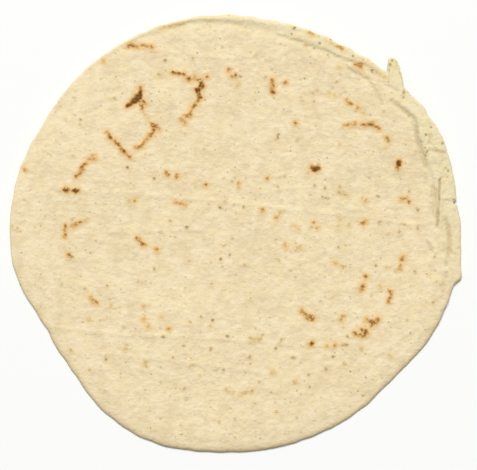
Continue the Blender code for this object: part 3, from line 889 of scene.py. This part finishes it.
# %% Wrinkles, pebbles and blisters
WRINKLES = (0.30, 5.6, 3.1)  # height, length and gap
CRIMPS = (0.32, 2.3, 1.6)
WRINKLES_CLIMB = 0.012
WRINKLE_SIDES = 3.0  # how far apart in the noise the two faces are read
PEBBLES = (0.16, 1.5)  # height and size
PEBBLE_SIDES = 9.0
CRAGS = (0.75, 1.9)  # where the lip ends
CRAGS_AT = (69.5, -6.0)
CRAGS_REACH = 6.5
LIP_CRAGS = (0.72, 2.2)
CREASE_HEIGHT = 0.16
CREASE_HALF_WIDTH = 0.75
BLISTER_HEIGHT = 0.10
BLISTER_SPAN = (-0.3, 1.6)  # from the edge of the toasted dot


def skin_relief(plan, x, y, side, from_toast, from_crease, lip):
    """The height of the fine relief, in millimetres."""
    relief = 0.0
    for height, length, gap in (WRINKLES, CRIMPS):
        stretched = plan.vector(x / length, y / gap + x * WRINKLES_CLIMB, side * WRINKLE_SIDES)
        relief = relief + height * plan.waver(stretched, 1.0, detail=1.5)
    pebbly = plan.vector(x, y, side * PEBBLE_SIDES)
    height, size = PEBBLES
    relief = relief + height * plan.waver(pebbly, size, detail=1.0)
    height, size = CRAGS
    crags = height * plan.waver(pebbly, size, detail=2.0)
    relief = relief + crags * plan.bell(plan.away(x, y, CRAGS_AT), CRAGS_REACH)
    height, size = LIP_CRAGS
    relief = relief + lip * height * plan.waver(pebbly, size, detail=3.0, roughness=0.6)
    relief = relief + CREASE_HEIGHT * plan.bell(from_crease, CREASE_HALF_WIDTH)
    return relief + BLISTER_HEIGHT * plan.fade(from_toast, *BLISTER_SPAN)


print("the wrinkles are about", WRINKLES[2], "mm apart")

# %% Folds, and hollows in the underside
FOLD_DEPTH = 0.42
FOLD_RIDGE = (0.24, 1.6)  # the ridge on the lip's side: height, and distance in half widths of the fold
HOLLOWS = (0.22, 2.6)
HOLLOWS_FROM = 0.46
HOLLOWS_LAYER = 77.0


def fold_relief(plan, off_fold, half_width, strength):
    """The height of a fold's profile: a groove, and a soft ridge on the lip's side of it."""
    height, away = FOLD_RIDGE
    groove = FOLD_DEPTH * plan.bell(off_fold, half_width)
    return strength * (height * plan.bell(off_fold - away * half_width, half_width) - groove)


def underside_hollows(plan, x, y):
    """Shallow hollows in the face that lies on the table, as it can only bend up from there."""
    height, size = HOLLOWS
    found = plan.noise(plan.vector(x, y, HOLLOWS_LAYER), size)
    return height * plan.sum("MAXIMUM", found - HOLLOWS_FROM, 0.0)


print("the folds are up to", FOLD_DEPTH * SLIT[0], "mm deep")

# %% [markdown]
# ## The press
#
# One Geometry Nodes tree now presses the blank: it reads each point's direction, its share of the way
# out and its side, and moves it to its place in the sheet. It also scatters toast dots along the
# strokes, and stores on every point how far it is from the nearest dot, and how dark that dot is. Such
# numbers are stored before the points move, because a node reads a point where it stands at that moment,
# and the finish reads them. A distance is worth more here than a painted mask, because the shader can cut
# it at any level and so draw an edge much finer than the mesh.

# %% Open a tree, and store numbers on points
PRESS_INPUTS = {
    "Geometry": "Geometry", "Skin": "Float", "Dot Gap": "Float", "Dot Jitter": "Float", "Seed": "Int",
    "Toast Strokes": "Object", "Crease Lines": "Object", "Fold Lines": "Object", "Finish": "Material",
}


def open_tree(name):
    """A new geometry tree with the press's inputs, and its plan."""
    tree = bpy.data.node_groups.new(name, "GeometryNodeTree")
    tree.interface.new_socket("Geometry", in_out="OUTPUT", socket_type="NodeSocketGeometry")
    for label, kind in PRESS_INPUTS.items():
        tree.interface.new_socket(label, in_out="INPUT", socket_type="NodeSocket" + kind)
    plan = Plan(tree)
    given = tree.nodes.new("NodeGroupInput")
    return tree, plan, {socket.name: Reading(plan, socket) for socket in given.outputs if socket.name}


def named(plan, label, kind="FLOAT"):
    return plan.add("GeometryNodeInputNamedAttribute", {"data_type": kind}, {"Name": label})


def stored(plan, geometry, label, value, kind="FLOAT"):
    settings = {"data_type": kind, "domain": "POINT"}
    sockets = {"Geometry": geometry, "Name": label, "Value": value}
    return plan.add("GeometryNodeStoreNamedAttribute", settings, sockets)


def drawn(plan, low, high, seed):
    """A random number for each point."""
    settings = {"data_type": "FLOAT"}
    return plan.add("FunctionNodeRandomValue", settings, {2: low, 3: high, 8: seed}, out=1)


print("the press is given", ", ".join(PRESS_INPUTS))

# %% Dots of toast along the strokes
DOT_GAP = 0.5
DOT_JITTER = 0.12
DOT_SIZES = (0.80, 1.25)  # shares of the stroke's own half width


def points_along(plan, lines, gap):
    """Points along the lines of an object, each with its line's heading stored on it."""
    laid = plan.add("GeometryNodeObjectInfo", None, {"Object": lines}, out=4)
    curves = plan.add("GeometryNodeMeshToCurve", None, {"Mesh": laid})
    curves = plan.add("GeometryNodeCurveSplineType", {"spline_type": "CATMULL_ROM"}, {"Curve": curves})
    points = plan.add("GeometryNodeCurveToPoints", {"mode": "LENGTH"}, {"Curve": curves, "Length": gap})
    heading = Reading(plan, points.socket.node.outputs["Tangent"])
    return stored(plan, points, "heading", heading, "FLOAT_VECTOR")


def toast_dots(plan, given):
    """Dots along the strokes, each a little off the line and of its own size."""
    dots = points_along(plan, given["Toast Strokes"], given["Dot Gap"])
    aside = [drawn(plan, -1.0, 1.0, given["Seed"] + step) * given["Dot Jitter"] for step in (0, 1)]
    dots = plan.add("GeometryNodeSetPosition", None, {"Geometry": dots, "Offset": plan.vector(*aside)})
    size = drawn(plan, *DOT_SIZES, given["Seed"] + 2)
    return stored(plan, dots, "girth", named(plan, "girth") * size)


print("the press scatters a dot of toast every", DOT_GAP, "mm")

# %% The nearest dot, and the nearest fold
FOLD_STEP = 0.5
FOLD_WANDER = (1.1, 2.2)  # how far a fold wanders off its line, and in what lengths
FOLD_WANDER_LAYER = 61.0
FOLD_BREAKS = (0.30, 0.50, 0.65, 1.0)  # where the noise is low, the fold is weaker
FOLD_BREAKS_SIZE = 3.6
FOLD_BREAKS_LAYER = 83.0
FOLD_ENDS = 1.0  # a fold fades out over this much past its ends
FOLD_INNER_FADE = (-2.4, -1.8)  # and beside it, in half widths, before the next fold begins
FOLD_OUTER_FADE = (2.6, 3.6)


def nearest_point(plan, points, where):
    """Where the nearest point is, its heading, its girth, its strength and its glow."""
    nearest = plan.add("GeometryNodeSampleNearest", {"domain": "POINT"}, {0: points, 1: where})
    wanted = [(plan.add("GeometryNodeInputPosition"), "FLOAT_VECTOR")]
    wanted += [(named(plan, "heading", "FLOAT_VECTOR"), "FLOAT_VECTOR")]
    wanted += [(named(plan, label), "FLOAT") for label in ("girth", "dark", "glow")]
    found = []
    for value, kind in wanted:
        settings = {"data_type": kind, "domain": "POINT"}
        found.append(plan.add("GeometryNodeSampleIndex", settings, {0: points, 1: value, 2: nearest}))
    return found


def from_dots(plan, dots, where):
    """The distance to the nearest dot's edge, how dark the dot is, and how orange round it."""
    place, _, girth, dark, glow = nearest_point(plan, dots, where)
    away = plan.add("ShaderNodeVectorMath", {"operation": "DISTANCE"}, {0: where, 1: place}, out=1)
    return away - girth, dark, glow


def from_folds(plan, points, x, y):
    """How far a point lies to the lip's side of the nearest fold, the fold's half width and its strength."""
    place, heading, girth, dark, _ = nearest_point(plan, points, plan.vector(x, y))
    place_x, place_y, _ = plan.parts_of(place)
    heading_x, heading_y, _ = plan.parts_of(heading)
    step_x, step_y = x - place_x, y - place_y
    reach, length = FOLD_WANDER
    wander = reach * plan.waver(plan.vector(x, y, FOLD_WANDER_LAYER), length)
    off_fold = heading_x * step_y - heading_y * step_x + wander
    past_end = plan.sum("ABSOLUTE", heading_x * step_x + heading_y * step_y)
    ended = plan.fade(past_end, FOLD_STEP / 2, FOLD_STEP / 2 + FOLD_ENDS)
    broken = plan.ease(plan.noise(plan.vector(x, y, FOLD_BREAKS_LAYER), FOLD_BREAKS_SIZE), *FOLD_BREAKS)
    share = off_fold / girth
    near = plan.ease(share, *FOLD_INNER_FADE) * plan.fade(share, *FOLD_OUTER_FADE)
    return off_fold, girth, dark * ended * broken * near


print("a fold fades out within", FOLD_OUTER_FADE[1], "half widths of its line")

# %% [markdown]
# The helpers are all there, so the tree itself is now short. It works from the outline inwards: where a
# point goes, what lies near it, how high it stands. The last step stores the numbers and moves the point.

# %% The tree that presses the blank
MESH_LIMIT = 0.45  # the narrowest half width that the mesh can hold
RELIEF_STARTS = 1.5  # the relief rises from nothing over this much inside the rim
HIGHEST = 3.70  # the tallest wrinkles of the lip are pressed down to the height of the solid
HIGHEST_SOFTNESS = 0.25


def marks_near(plan, given, x, y, side):
    """The nearest dot of toast, the distance to the nearest crease, and the nearest fold."""
    where = plan.vector(x, y, BELOW + (ABOVE - BELOW) * plan.ease(side, -1.0, 1.0))
    dot = from_dots(plan, toast_dots(plan, given), where)
    lines = plan.add("GeometryNodeObjectInfo", None, {"Object": given["Crease Lines"]}, out=4)
    nearest = {0: lines, "Sample Position": plan.vector(x, y)}
    from_crease = plan.add("GeometryNodeProximity", {"target_element": "EDGES"}, nearest, out=1)
    fold_points = points_along(plan, given["Fold Lines"], FOLD_STEP)
    return dot, from_crease, from_folds(plan, fold_points, x, y)


def build_press():
    tree, plan, given = open_tree("press")
    blank_x, blank_y, side = plan.parts_of(plan.add("GeometryNodeInputPosition"))
    share = plan.sum("SQRT", blank_x * blank_x + blank_y * blank_y)
    angle = plan.sum("ARCTAN2", blank_y, blank_x)
    direction = plan.sum("DEGREES", angle)
    on_lip = along_lip(plan, direction)
    reach = smooth_rim(plan, plan.sum("COSINE", angle), plan.sum("SINE", angle), direction)
    tucked = RIM_ROUNDING * (1 - plan.sum("SQRT", plan.sum("MAXIMUM", 1 - side * side, 0.0)))
    to_rim = (1 - share) * reach
    inwards = to_rim + tucked * plan.fade(to_rim, 0.0, 2 * RIM_ROUNDING)
    x, y, direction = place_from_rim(plan, direction, inwards, on_lip)

    dot, from_crease, (off_fold, fold_width, fold) = marks_near(plan, given, x, y, side)
    from_toast, dark, glow = dot
    thick, dried = dough_thickness(plan, x, y, direction, inwards)
    rise, lip = lip_and_groove(plan, x, y, direction, inwards, on_lip)
    relief = given["Skin"] * skin_relief(plan, x, y, side, from_toast, from_crease, lip)
    relief = relief + fold_relief(plan, off_fold, plan.sum("MAXIMUM", fold_width, MESH_LIMIT), fold)
    thick = thick + rise + relief * plan.ease(inwards, 0.0, RELIEF_STARTS)
    under = lift_off_table(plan, x, y, direction, share) + underside_hollows(plan, x, y)
    height = under + thick * (side + 1.0) / 2.0
    height = plan.sum("SMOOTH_MIN", height, HIGHEST, HIGHEST_SOFTNESS)

    sheet = given["Geometry"]
    notes = {"from_toast": from_toast, "dark": dark, "glow": glow}
    notes |= {"off_fold": off_fold / fold_width, "fold": fold, "lip": lip, "dried": dried}
    for label, value in notes.items():
        sheet = stored(plan, sheet, label, value)
    pressed_to = plan.vector(x * MM, y * MM, height * MM)
    sheet = plan.add("GeometryNodeSetPosition", None, {"Geometry": sheet, "Position": pressed_to})
    return tree, plan, given, sheet


press = build_press()
print("the press has", len(press[0].nodes), "nodes")

# %% [markdown]
# ## The finish
#
# Baked maize dough is pale cream and quite matt. Up close it isn't one colour: floury and damper places
# alternate in streaks that follow the wrinkles, and tiny grey-brown flecks of hull lie all over it. Shade
# is painted into it too: a browner band where the lower rim ran out thin, on the side away from the light,
# darker middles in the folds, and darker pits on the pores. All of it is noise and distance, so it needs no
# image.
# Noises of about one size are read at different layers, so that no pattern shows twice.

# %% Colours of the dough
DOUGH = (0.791, 0.671, 0.441, 1.0)
DAMP = (0.690, 0.560, 0.342, 1.0)
YELLOWED = (0.780, 0.640, 0.360, 1.0)
MEALY = (0.705, 0.635, 0.410, 1.0)
RAW = (0.760, 0.660, 0.325, 1.0)
# painted shade: darker colour down the middle of the folds, standing in for the shade in their crevices
PAINTED_FOLD_SHADE = (0.520, 0.400, 0.215, 1.0)
# painted shade: the browner lower rim stands in for the shade on the rim turned away from the light
PAINTED_RIM_SHADE = (0.520, 0.385, 0.200, 1.0)
OLIVE = (0.330, 0.255, 0.108, 1.0)
FLECK = (0.270, 0.230, 0.145, 1.0)
# painted shade in the pits, which lie on the bump's pores; the freckles use it as their own darker tone
PIT_SHADE_AND_FRECKLE = (0.520, 0.420, 0.225, 1.0)


def mixed(plan, factor, first, second):
    return plan.add("ShaderNodeMix", {"data_type": "RGBA"}, {0: factor, 6: first, 7: second}, out=2)


print("plain dough has the colour", DOUGH[:3])

# %% Noises and specks
NOISES = {  # stretch across, stretch along, layer, size in millimetres, detail, roughness
    "streaks": (2.4, 1.5, 0.0, 1.0, 3.0, 0.6),
    "patches": (1.0, 1.0, 0.0, 4.2, 2.0, 0.5),
    "grain": (1.0, 1.0, 0.0, 0.75, 2.0, 0.6),
    "yellow": (1.0, 1.0, 31.0, 3.4, 2.0, 0.5),
    "mealy": (1.0, 1.0, 17.0, 2.0, 3.0, 0.5),
    "raw": (1.0, 1.0, 23.0, 1.8, 2.0, 0.5),
    "ragged": (1.0, 1.0, 0.0, 0.6, 3.0, 0.7),
    "clumps": (1.0, 1.0, 0.0, 1.5, 1.0, 0.5),
    "beads": (1.0, 1.0, 5.0, 0.95, 1.0, 0.5),
    "soft": (1.25, 1.0, 0.0, 1.15, 2.0, 0.55),
    "fine": (1.2, 1.0, 9.0, 0.55, 2.0, 0.6),
    "crumbs": (1.0, 1.3, 41.0, 1.2, 2.0, 0.6),
}
SPECKS = {  # millimetres from one to the next, the biggest one, and how rare big ones are
    "freckles": (4.2, 0.95, 3.0),
    "shaded_pits": (1.7, 0.48, 2.0),
    "flecks": (2.6, 0.40, 4.0),
    "on the lip": (1.9, 0.62, 3.0),
    "pores": (1.7, 0.42, 2.0),
}
SMALLEST_SPECK = 0.01
SPECK_EDGE = (0.55, 1.15)


def read(plan, label):
    return plan.add("ShaderNodeAttribute", {"attribute_name": label}, out=2)


def mottled(plan, place, label):
    """One of the noises, from 0 to 1."""
    across, along, layer, size, detail, roughness = NOISES[label]
    x, y, z = plan.parts_of(place)
    return plan.noise(plan.vector(x / across, y / along, z + layer), size, detail, roughness)


def specks(plan, place, label):
    """Round specks, at most one to a cell, and the rarer they are the more of them are tiny."""
    gap, biggest, rarity = SPECKS[label]
    cells = plan.add("ShaderNodeTexVoronoi", None, {"Vector": place, "Scale": 1.0 / gap})
    chance = plan.parts_of(Reading(plan, cells.socket.node.outputs["Color"]))[0]
    size = biggest / gap * chance ** rarity + SMALLEST_SPECK
    return plan.fade(cells / size, *SPECK_EDGE)


print("the finish mixes", len(NOISES), "noises and", len(SPECKS), "kinds of specks")

# %% Plain dough, the lip and the folds
DAMP_SHARES = {"streaks": 0.38, "patches": 0.48, "grain": 0.28}
DAMP_LEVELS = (0.42, 0.72)
YELLOWED_LEVELS = (0.45, 0.75)
# the pits share their cells with the pores of the bump, so their darker colour is painted shade; freckles and
# flecks are the dough's own specks
DOUGH_SPECKS = {"freckles": (0.60, PIT_SHADE_AND_FRECKLE), "shaded_pits": (0.65, PIT_SHADE_AND_FRECKLE), "flecks": (0.70, FLECK)}
LIP_TONES = {"mealy": (0.85, 0.38, 0.60, MEALY), "raw": (0.75, 0.50, 0.68, RAW)}
CREVICE_HALF_WIDTH = 0.9  # in half widths of the fold
STRENGTHS = {"yellow": 0.6, "olive": 0.85, "crevice_and_shade": 0.7}


def plain_dough(plan, place):
    """Dry and damp streaks, yellower patches, specks, painted shade in the pits, and painted shade along the
    lower rim.
    """
    parts = [share * mottled(plan, place, label) for label, share in DAMP_SHARES.items()]
    damp = plan.ease(parts[0] + parts[1] + parts[2], *DAMP_LEVELS)
    yellowed = plan.ease(mottled(plan, place, "yellow"), *YELLOWED_LEVELS)
    colour = mixed(plan, damp, DOUGH, DAMP)
    colour = mixed(plan, STRENGTHS["yellow"] * yellowed, colour, YELLOWED)
    for label, (strength, tone) in DOUGH_SPECKS.items():
        colour = mixed(plan, strength * specks(plan, place, label), colour, tone)
    # painted shade along the thinned lower rim
    return mixed(plan, read(plan, "dried"), colour, PAINTED_RIM_SHADE)


def crumbly_lip(plan, place, lip, colour):
    """The lip is mealy, with raw yellow places and olive crumbs."""
    for label, (strength, low, high, tone) in LIP_TONES.items():
        found = plan.ease(mottled(plan, place, label), low, high)
        colour = mixed(plan, strength * lip * found, colour, tone)
    return mixed(plan, STRENGTHS["olive"] * lip * specks(plan, place, "on the lip"), colour, OLIVE)


def fold_crevice_and_shade(plan):
    """1 in the middle of a fold, and less where the fold is weak: where shade is painted into the fold and
    the bump cuts its crevice.
    """
    fold = read(plan, "fold")
    return fold * fold * plan.bell(read(plan, "off_fold"), CREVICE_HALF_WIDTH)


print("the lip is", " and ".join(LIP_TONES))

# %% [markdown]
# The toasted dots have dark brown middles and an orange blush round them. They are cut out of the stored
# distance at three levels, with some noise added to it first, which makes their edges ragged. A further
# noise breaks each mark up into a row of darker beads, as it toasted most on the tops of the wrinkles.

# %% Toast
BLUSH = (0.725, 0.445, 0.170, 1.0)
YOLKY = (0.700, 0.505, 0.200, 1.0)
BROWN = (0.330, 0.150, 0.026, 1.0)
CHAR = (0.125, 0.046, 0.006, 1.0)
SOOT = (0.135, 0.105, 0.045, 1.0)
EDGE_NOISES = {"ragged": 0.9, "clumps": 1.1}
BEADS = (0.36, 0.60, 0.62, 1.15)  # from where to where in the noise, and the strengths there
BLUSH_EDGE = (-0.20, 2.05)  # millimetres past the dot's edge
BLUSH_STEEPNESS = 1.4
CORE_EDGE = (-0.38, 0.54)
CORE_DARKNESS = (0.25, 0.80, 0.15, 0.95)
MIDDLE_EDGE = (-0.55, 0.12)
MIDDLE_DARKNESS = (0.5, 1.0, 0.0, 0.95)
YOLKY_TO_BLUSH = (0.30, 0.60)
GREY_TO_BROWN = (0.2, 0.8)


def toasted(plan, place, colour):
    """The blush, the brown core and the charred middle of each mark, over the dough's colour."""
    from_toast = read(plan, "from_toast")
    for label, reach in EDGE_NOISES.items():
        from_toast = from_toast + reach * (mottled(plan, place, label) - NOISE_MIDDLE)
    dark = read(plan, "dark") * plan.ease(mottled(plan, place, "beads"), *BEADS)
    glow = read(plan, "glow")
    blush = plan.fade(from_toast, *BLUSH_EDGE) ** BLUSH_STEEPNESS * glow
    core = plan.fade(from_toast, *CORE_EDGE) * plan.ease(dark, *CORE_DARKNESS)
    middle = plan.fade(from_toast, *MIDDLE_EDGE) * plan.ease(dark, *MIDDLE_DARKNESS)
    glowing = plan.ease(glow, *GREY_TO_BROWN)
    colour = mixed(plan, blush, colour, mixed(plan, plan.ease(dark, *YOLKY_TO_BLUSH), YOLKY, BLUSH))
    colour = mixed(plan, core, colour, mixed(plan, glowing, OLIVE, BROWN))
    return mixed(plan, middle, colour, mixed(plan, glowing, SOOT, CHAR))


print("the blush reaches", BLUSH_EDGE[1], "mm past a dot")

# %% The whole finish
MATTNESS = (0.74, 0.16)  # the least roughness, and how much the grain adds
BUMPS = {"soft": 0.24, "fine": 0.09, "pores": 0.05, "crevice_and_shade": 0.12, "crumbs": 0.15}
SHEEN = 0.25


def new_material(name):
    """A material, and its one shader."""
    material = bpy.data.materials.new(name)
    material.use_nodes = True
    return material, material.node_tree.nodes["Principled BSDF"]


def bumps(plan, place, lip, crevice_and_shade):
    """The height of relief too fine for the mesh, in millimetres."""
    height = BUMPS["soft"] * mottled(plan, place, "soft") + BUMPS["fine"] * mottled(plan, place, "fine")
    height = height - BUMPS["pores"] * specks(plan, place, "pores") - BUMPS["crevice_and_shade"] * crevice_and_shade
    return height + BUMPS["crumbs"] * lip * mottled(plan, place, "crumbs")


def toasted_dough():
    material, shader = new_material("toasted_dough")
    plan = Plan(material.node_tree)
    metres = plan.add("ShaderNodeTexCoord", out=3)  # the object's own coordinates
    place = plan.add("ShaderNodeVectorMath", {"operation": "SCALE"}, {0: metres, 3: 1.0 / MM})
    lip = read(plan, "lip")
    crevice_and_shade = fold_crevice_and_shade(plan)

    colour = crumbly_lip(plan, place, lip, plain_dough(plan, place))
    # painted shade down the middle of each fold
    colour = mixed(plan, STRENGTHS["crevice_and_shade"] * crevice_and_shade, colour, PAINTED_FOLD_SHADE)
    plan.put(toasted(plan, place, colour), shader.inputs["Base Color"])

    least, by_grain = MATTNESS
    plan.put(least + by_grain * mottled(plan, place, "grain"), shader.inputs["Roughness"])
    shader.inputs["Specular IOR Level"].default_value = SHEEN
    sockets = {"Strength": 1.0, "Distance": MM, "Height": bumps(plan, place, lip, crevice_and_shade)}
    plan.put(plan.add("ShaderNodeBump", None, sockets), shader.inputs["Normal"])
    return material


dough = toasted_dough()
print("the finish has", len(dough.node_tree.nodes), "nodes")

# %% [markdown]
# ## From blank to tortilla
#
# The tree is closed with Realize Instances and Set Material, its inputs are set by their identifiers,
# and the evaluated result is kept as a plain mesh. It is then slid into the middle of the solid's own
# outline, which takes its place in the model.

# %% Press the blank
PRESS_SEED = 12


def close_tree(tree, plan, given, sheet):
    sheet = plan.add("GeometryNodeSetShadeSmooth", None, {"Geometry": sheet})
    sheet = plan.add("GeometryNodeRealizeInstances", None, {"Geometry": sheet})
    sheet = plan.add("GeometryNodeSetMaterial", None, {"Geometry": sheet, "Material": given["Finish"]})
    result = tree.nodes.new("NodeGroupOutput")
    tree.links.new(sheet.socket, result.inputs[0])
    return tree


def pressed(blank, tree):
    """Runs the press on the blank, and returns the sheet as a plain mesh object."""
    modifier = blank.modifiers.new("press", "NODES")
    modifier.node_group = tree
    given = {"Skin": 1.0, "Dot Gap": DOT_GAP, "Dot Jitter": DOT_JITTER, "Seed": PRESS_SEED}
    given |= {"Toast Strokes": toast_strokes, "Crease Lines": crease_lines, "Fold Lines": fold_lines}
    given["Finish"] = dough
    for item in tree.interface.items_tree:
        if item.in_out == "INPUT" and item.name in given:
            modifier[item.identifier] = given[item.name]
    ready = bpy.context.evaluated_depsgraph_get()
    mesh = bpy.data.meshes.new_from_object(blank.evaluated_get(ready), depsgraph=ready)
    mesh.name = "toasted_sheet"
    sheet = placed("toasted_sheet", mesh)
    blank.modifiers.remove(modifier)
    for used in (blank, toast_strokes, crease_lines, fold_lines):
        bpy.data.objects.remove(used)
    return sheet


def slide_into(mesh, box):
    """Centres the mesh on the box, as seen from above."""
    for axis in (0, 1):
        values = [point.co[axis] for point in mesh.vertices]
        shift = (box[0][axis] + box[1][axis] - min(values) - max(values)) / 2
        move = Vector((0.0, 0.0, 0.0))
        move[axis] = shift
        mesh.transform(Matrix.Translation(move))
        print("slid by", round(shift / MM, 2), "mm along axis", axis)


sheet = pressed(blank, close_tree(*press))
slide_into(sheet.data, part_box("tortilla"))
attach(sheet, "root")
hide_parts("tortilla")
print("the sheet has", len(sheet.data.polygons), "triangles")

# %% [markdown]
# ## Floor, light and camera
#
# The tortilla lies on a plain white ground and is seen straight from above, so the camera has a long
# lens and stands far off, which keeps the rim from leaning. The light comes softly from the top of the
# picture: it draws the wrinkles, brightens the upper rim and leaves a thin shade under the lower one.

# %% Floor
FLOOR_SIZE = 3.0
GROUND = (0.842, 0.848, 0.83, 1.0)
GROUND_ROUGHNESS = 0.9


def white_ground():
    material, shader = new_material("white_ground")
    shader.inputs["Base Color"].default_value = GROUND
    shader.inputs["Roughness"].default_value = GROUND_ROUGHNESS
    return material


half = FLOOR_SIZE / 2
corners = [(-half, -half, 0), (half, -half, 0), (half, half, 0), (-half, half, 0)]
floor_mesh = bpy.data.meshes.new("floor")
floor_mesh.from_pydata(corners, [], [(0, 1, 2, 3)])
floor_mesh.materials.append(white_ground())
floor = placed("floor", floor_mesh)
print("the floor is", FLOOR_SIZE, "m across")

# %% Light
KEY_ENERGY = 474.0
KEY_SIZE = 2.6
KEY_PLACE = Vector((-0.35, 3.80, 5.70))
SKY_STRENGTH = 0.347

key_data = bpy.data.lights.new("key", "AREA")
key_data.energy = KEY_ENERGY
key_data.size = KEY_SIZE
key = placed("key", key_data)
key.location = KEY_PLACE
key.rotation_euler = (-KEY_PLACE).to_track_quat("-Z", "Y").to_euler()

world = bpy.data.worlds.new("soft_room")
world.use_nodes = True
world.node_tree.nodes["Background"].inputs["Color"].default_value = (1.0, 1.0, 1.0, 1.0)
world.node_tree.nodes["Background"].inputs["Strength"].default_value = SKY_STRENGTH
bpy.context.scene.world = world
bpy.context.scene.view_settings.view_transform = "Standard"
print("the key light stands", round(KEY_PLACE.length, 2), "m off")

# %% Camera
LENS = 200.0
SENSOR = 36.0

across_picture = PICTURE[0] * MM_PER_PIXEL * MM
camera_data = bpy.data.cameras.new("camera")
camera_data.lens = LENS
camera_data.sensor_width = SENSOR
camera_data.clip_start = 0.01
camera = placed("camera", camera_data)
camera.location = (
    (PICTURE[0] / 2 - SHEET_MIDDLE[0]) * MM_PER_PIXEL * MM,
    (SHEET_MIDDLE[1] - PICTURE[1] / 2) * MM_PER_PIXEL * MM,
    across_picture * LENS / SENSOR,
)
bpy.context.scene.camera = camera
print("the camera stands", round(camera.location.z, 3), "m above the table")

# %% [markdown]
# ## Size
#
# The dressed sheet has to be the size of the solid that it stands for.
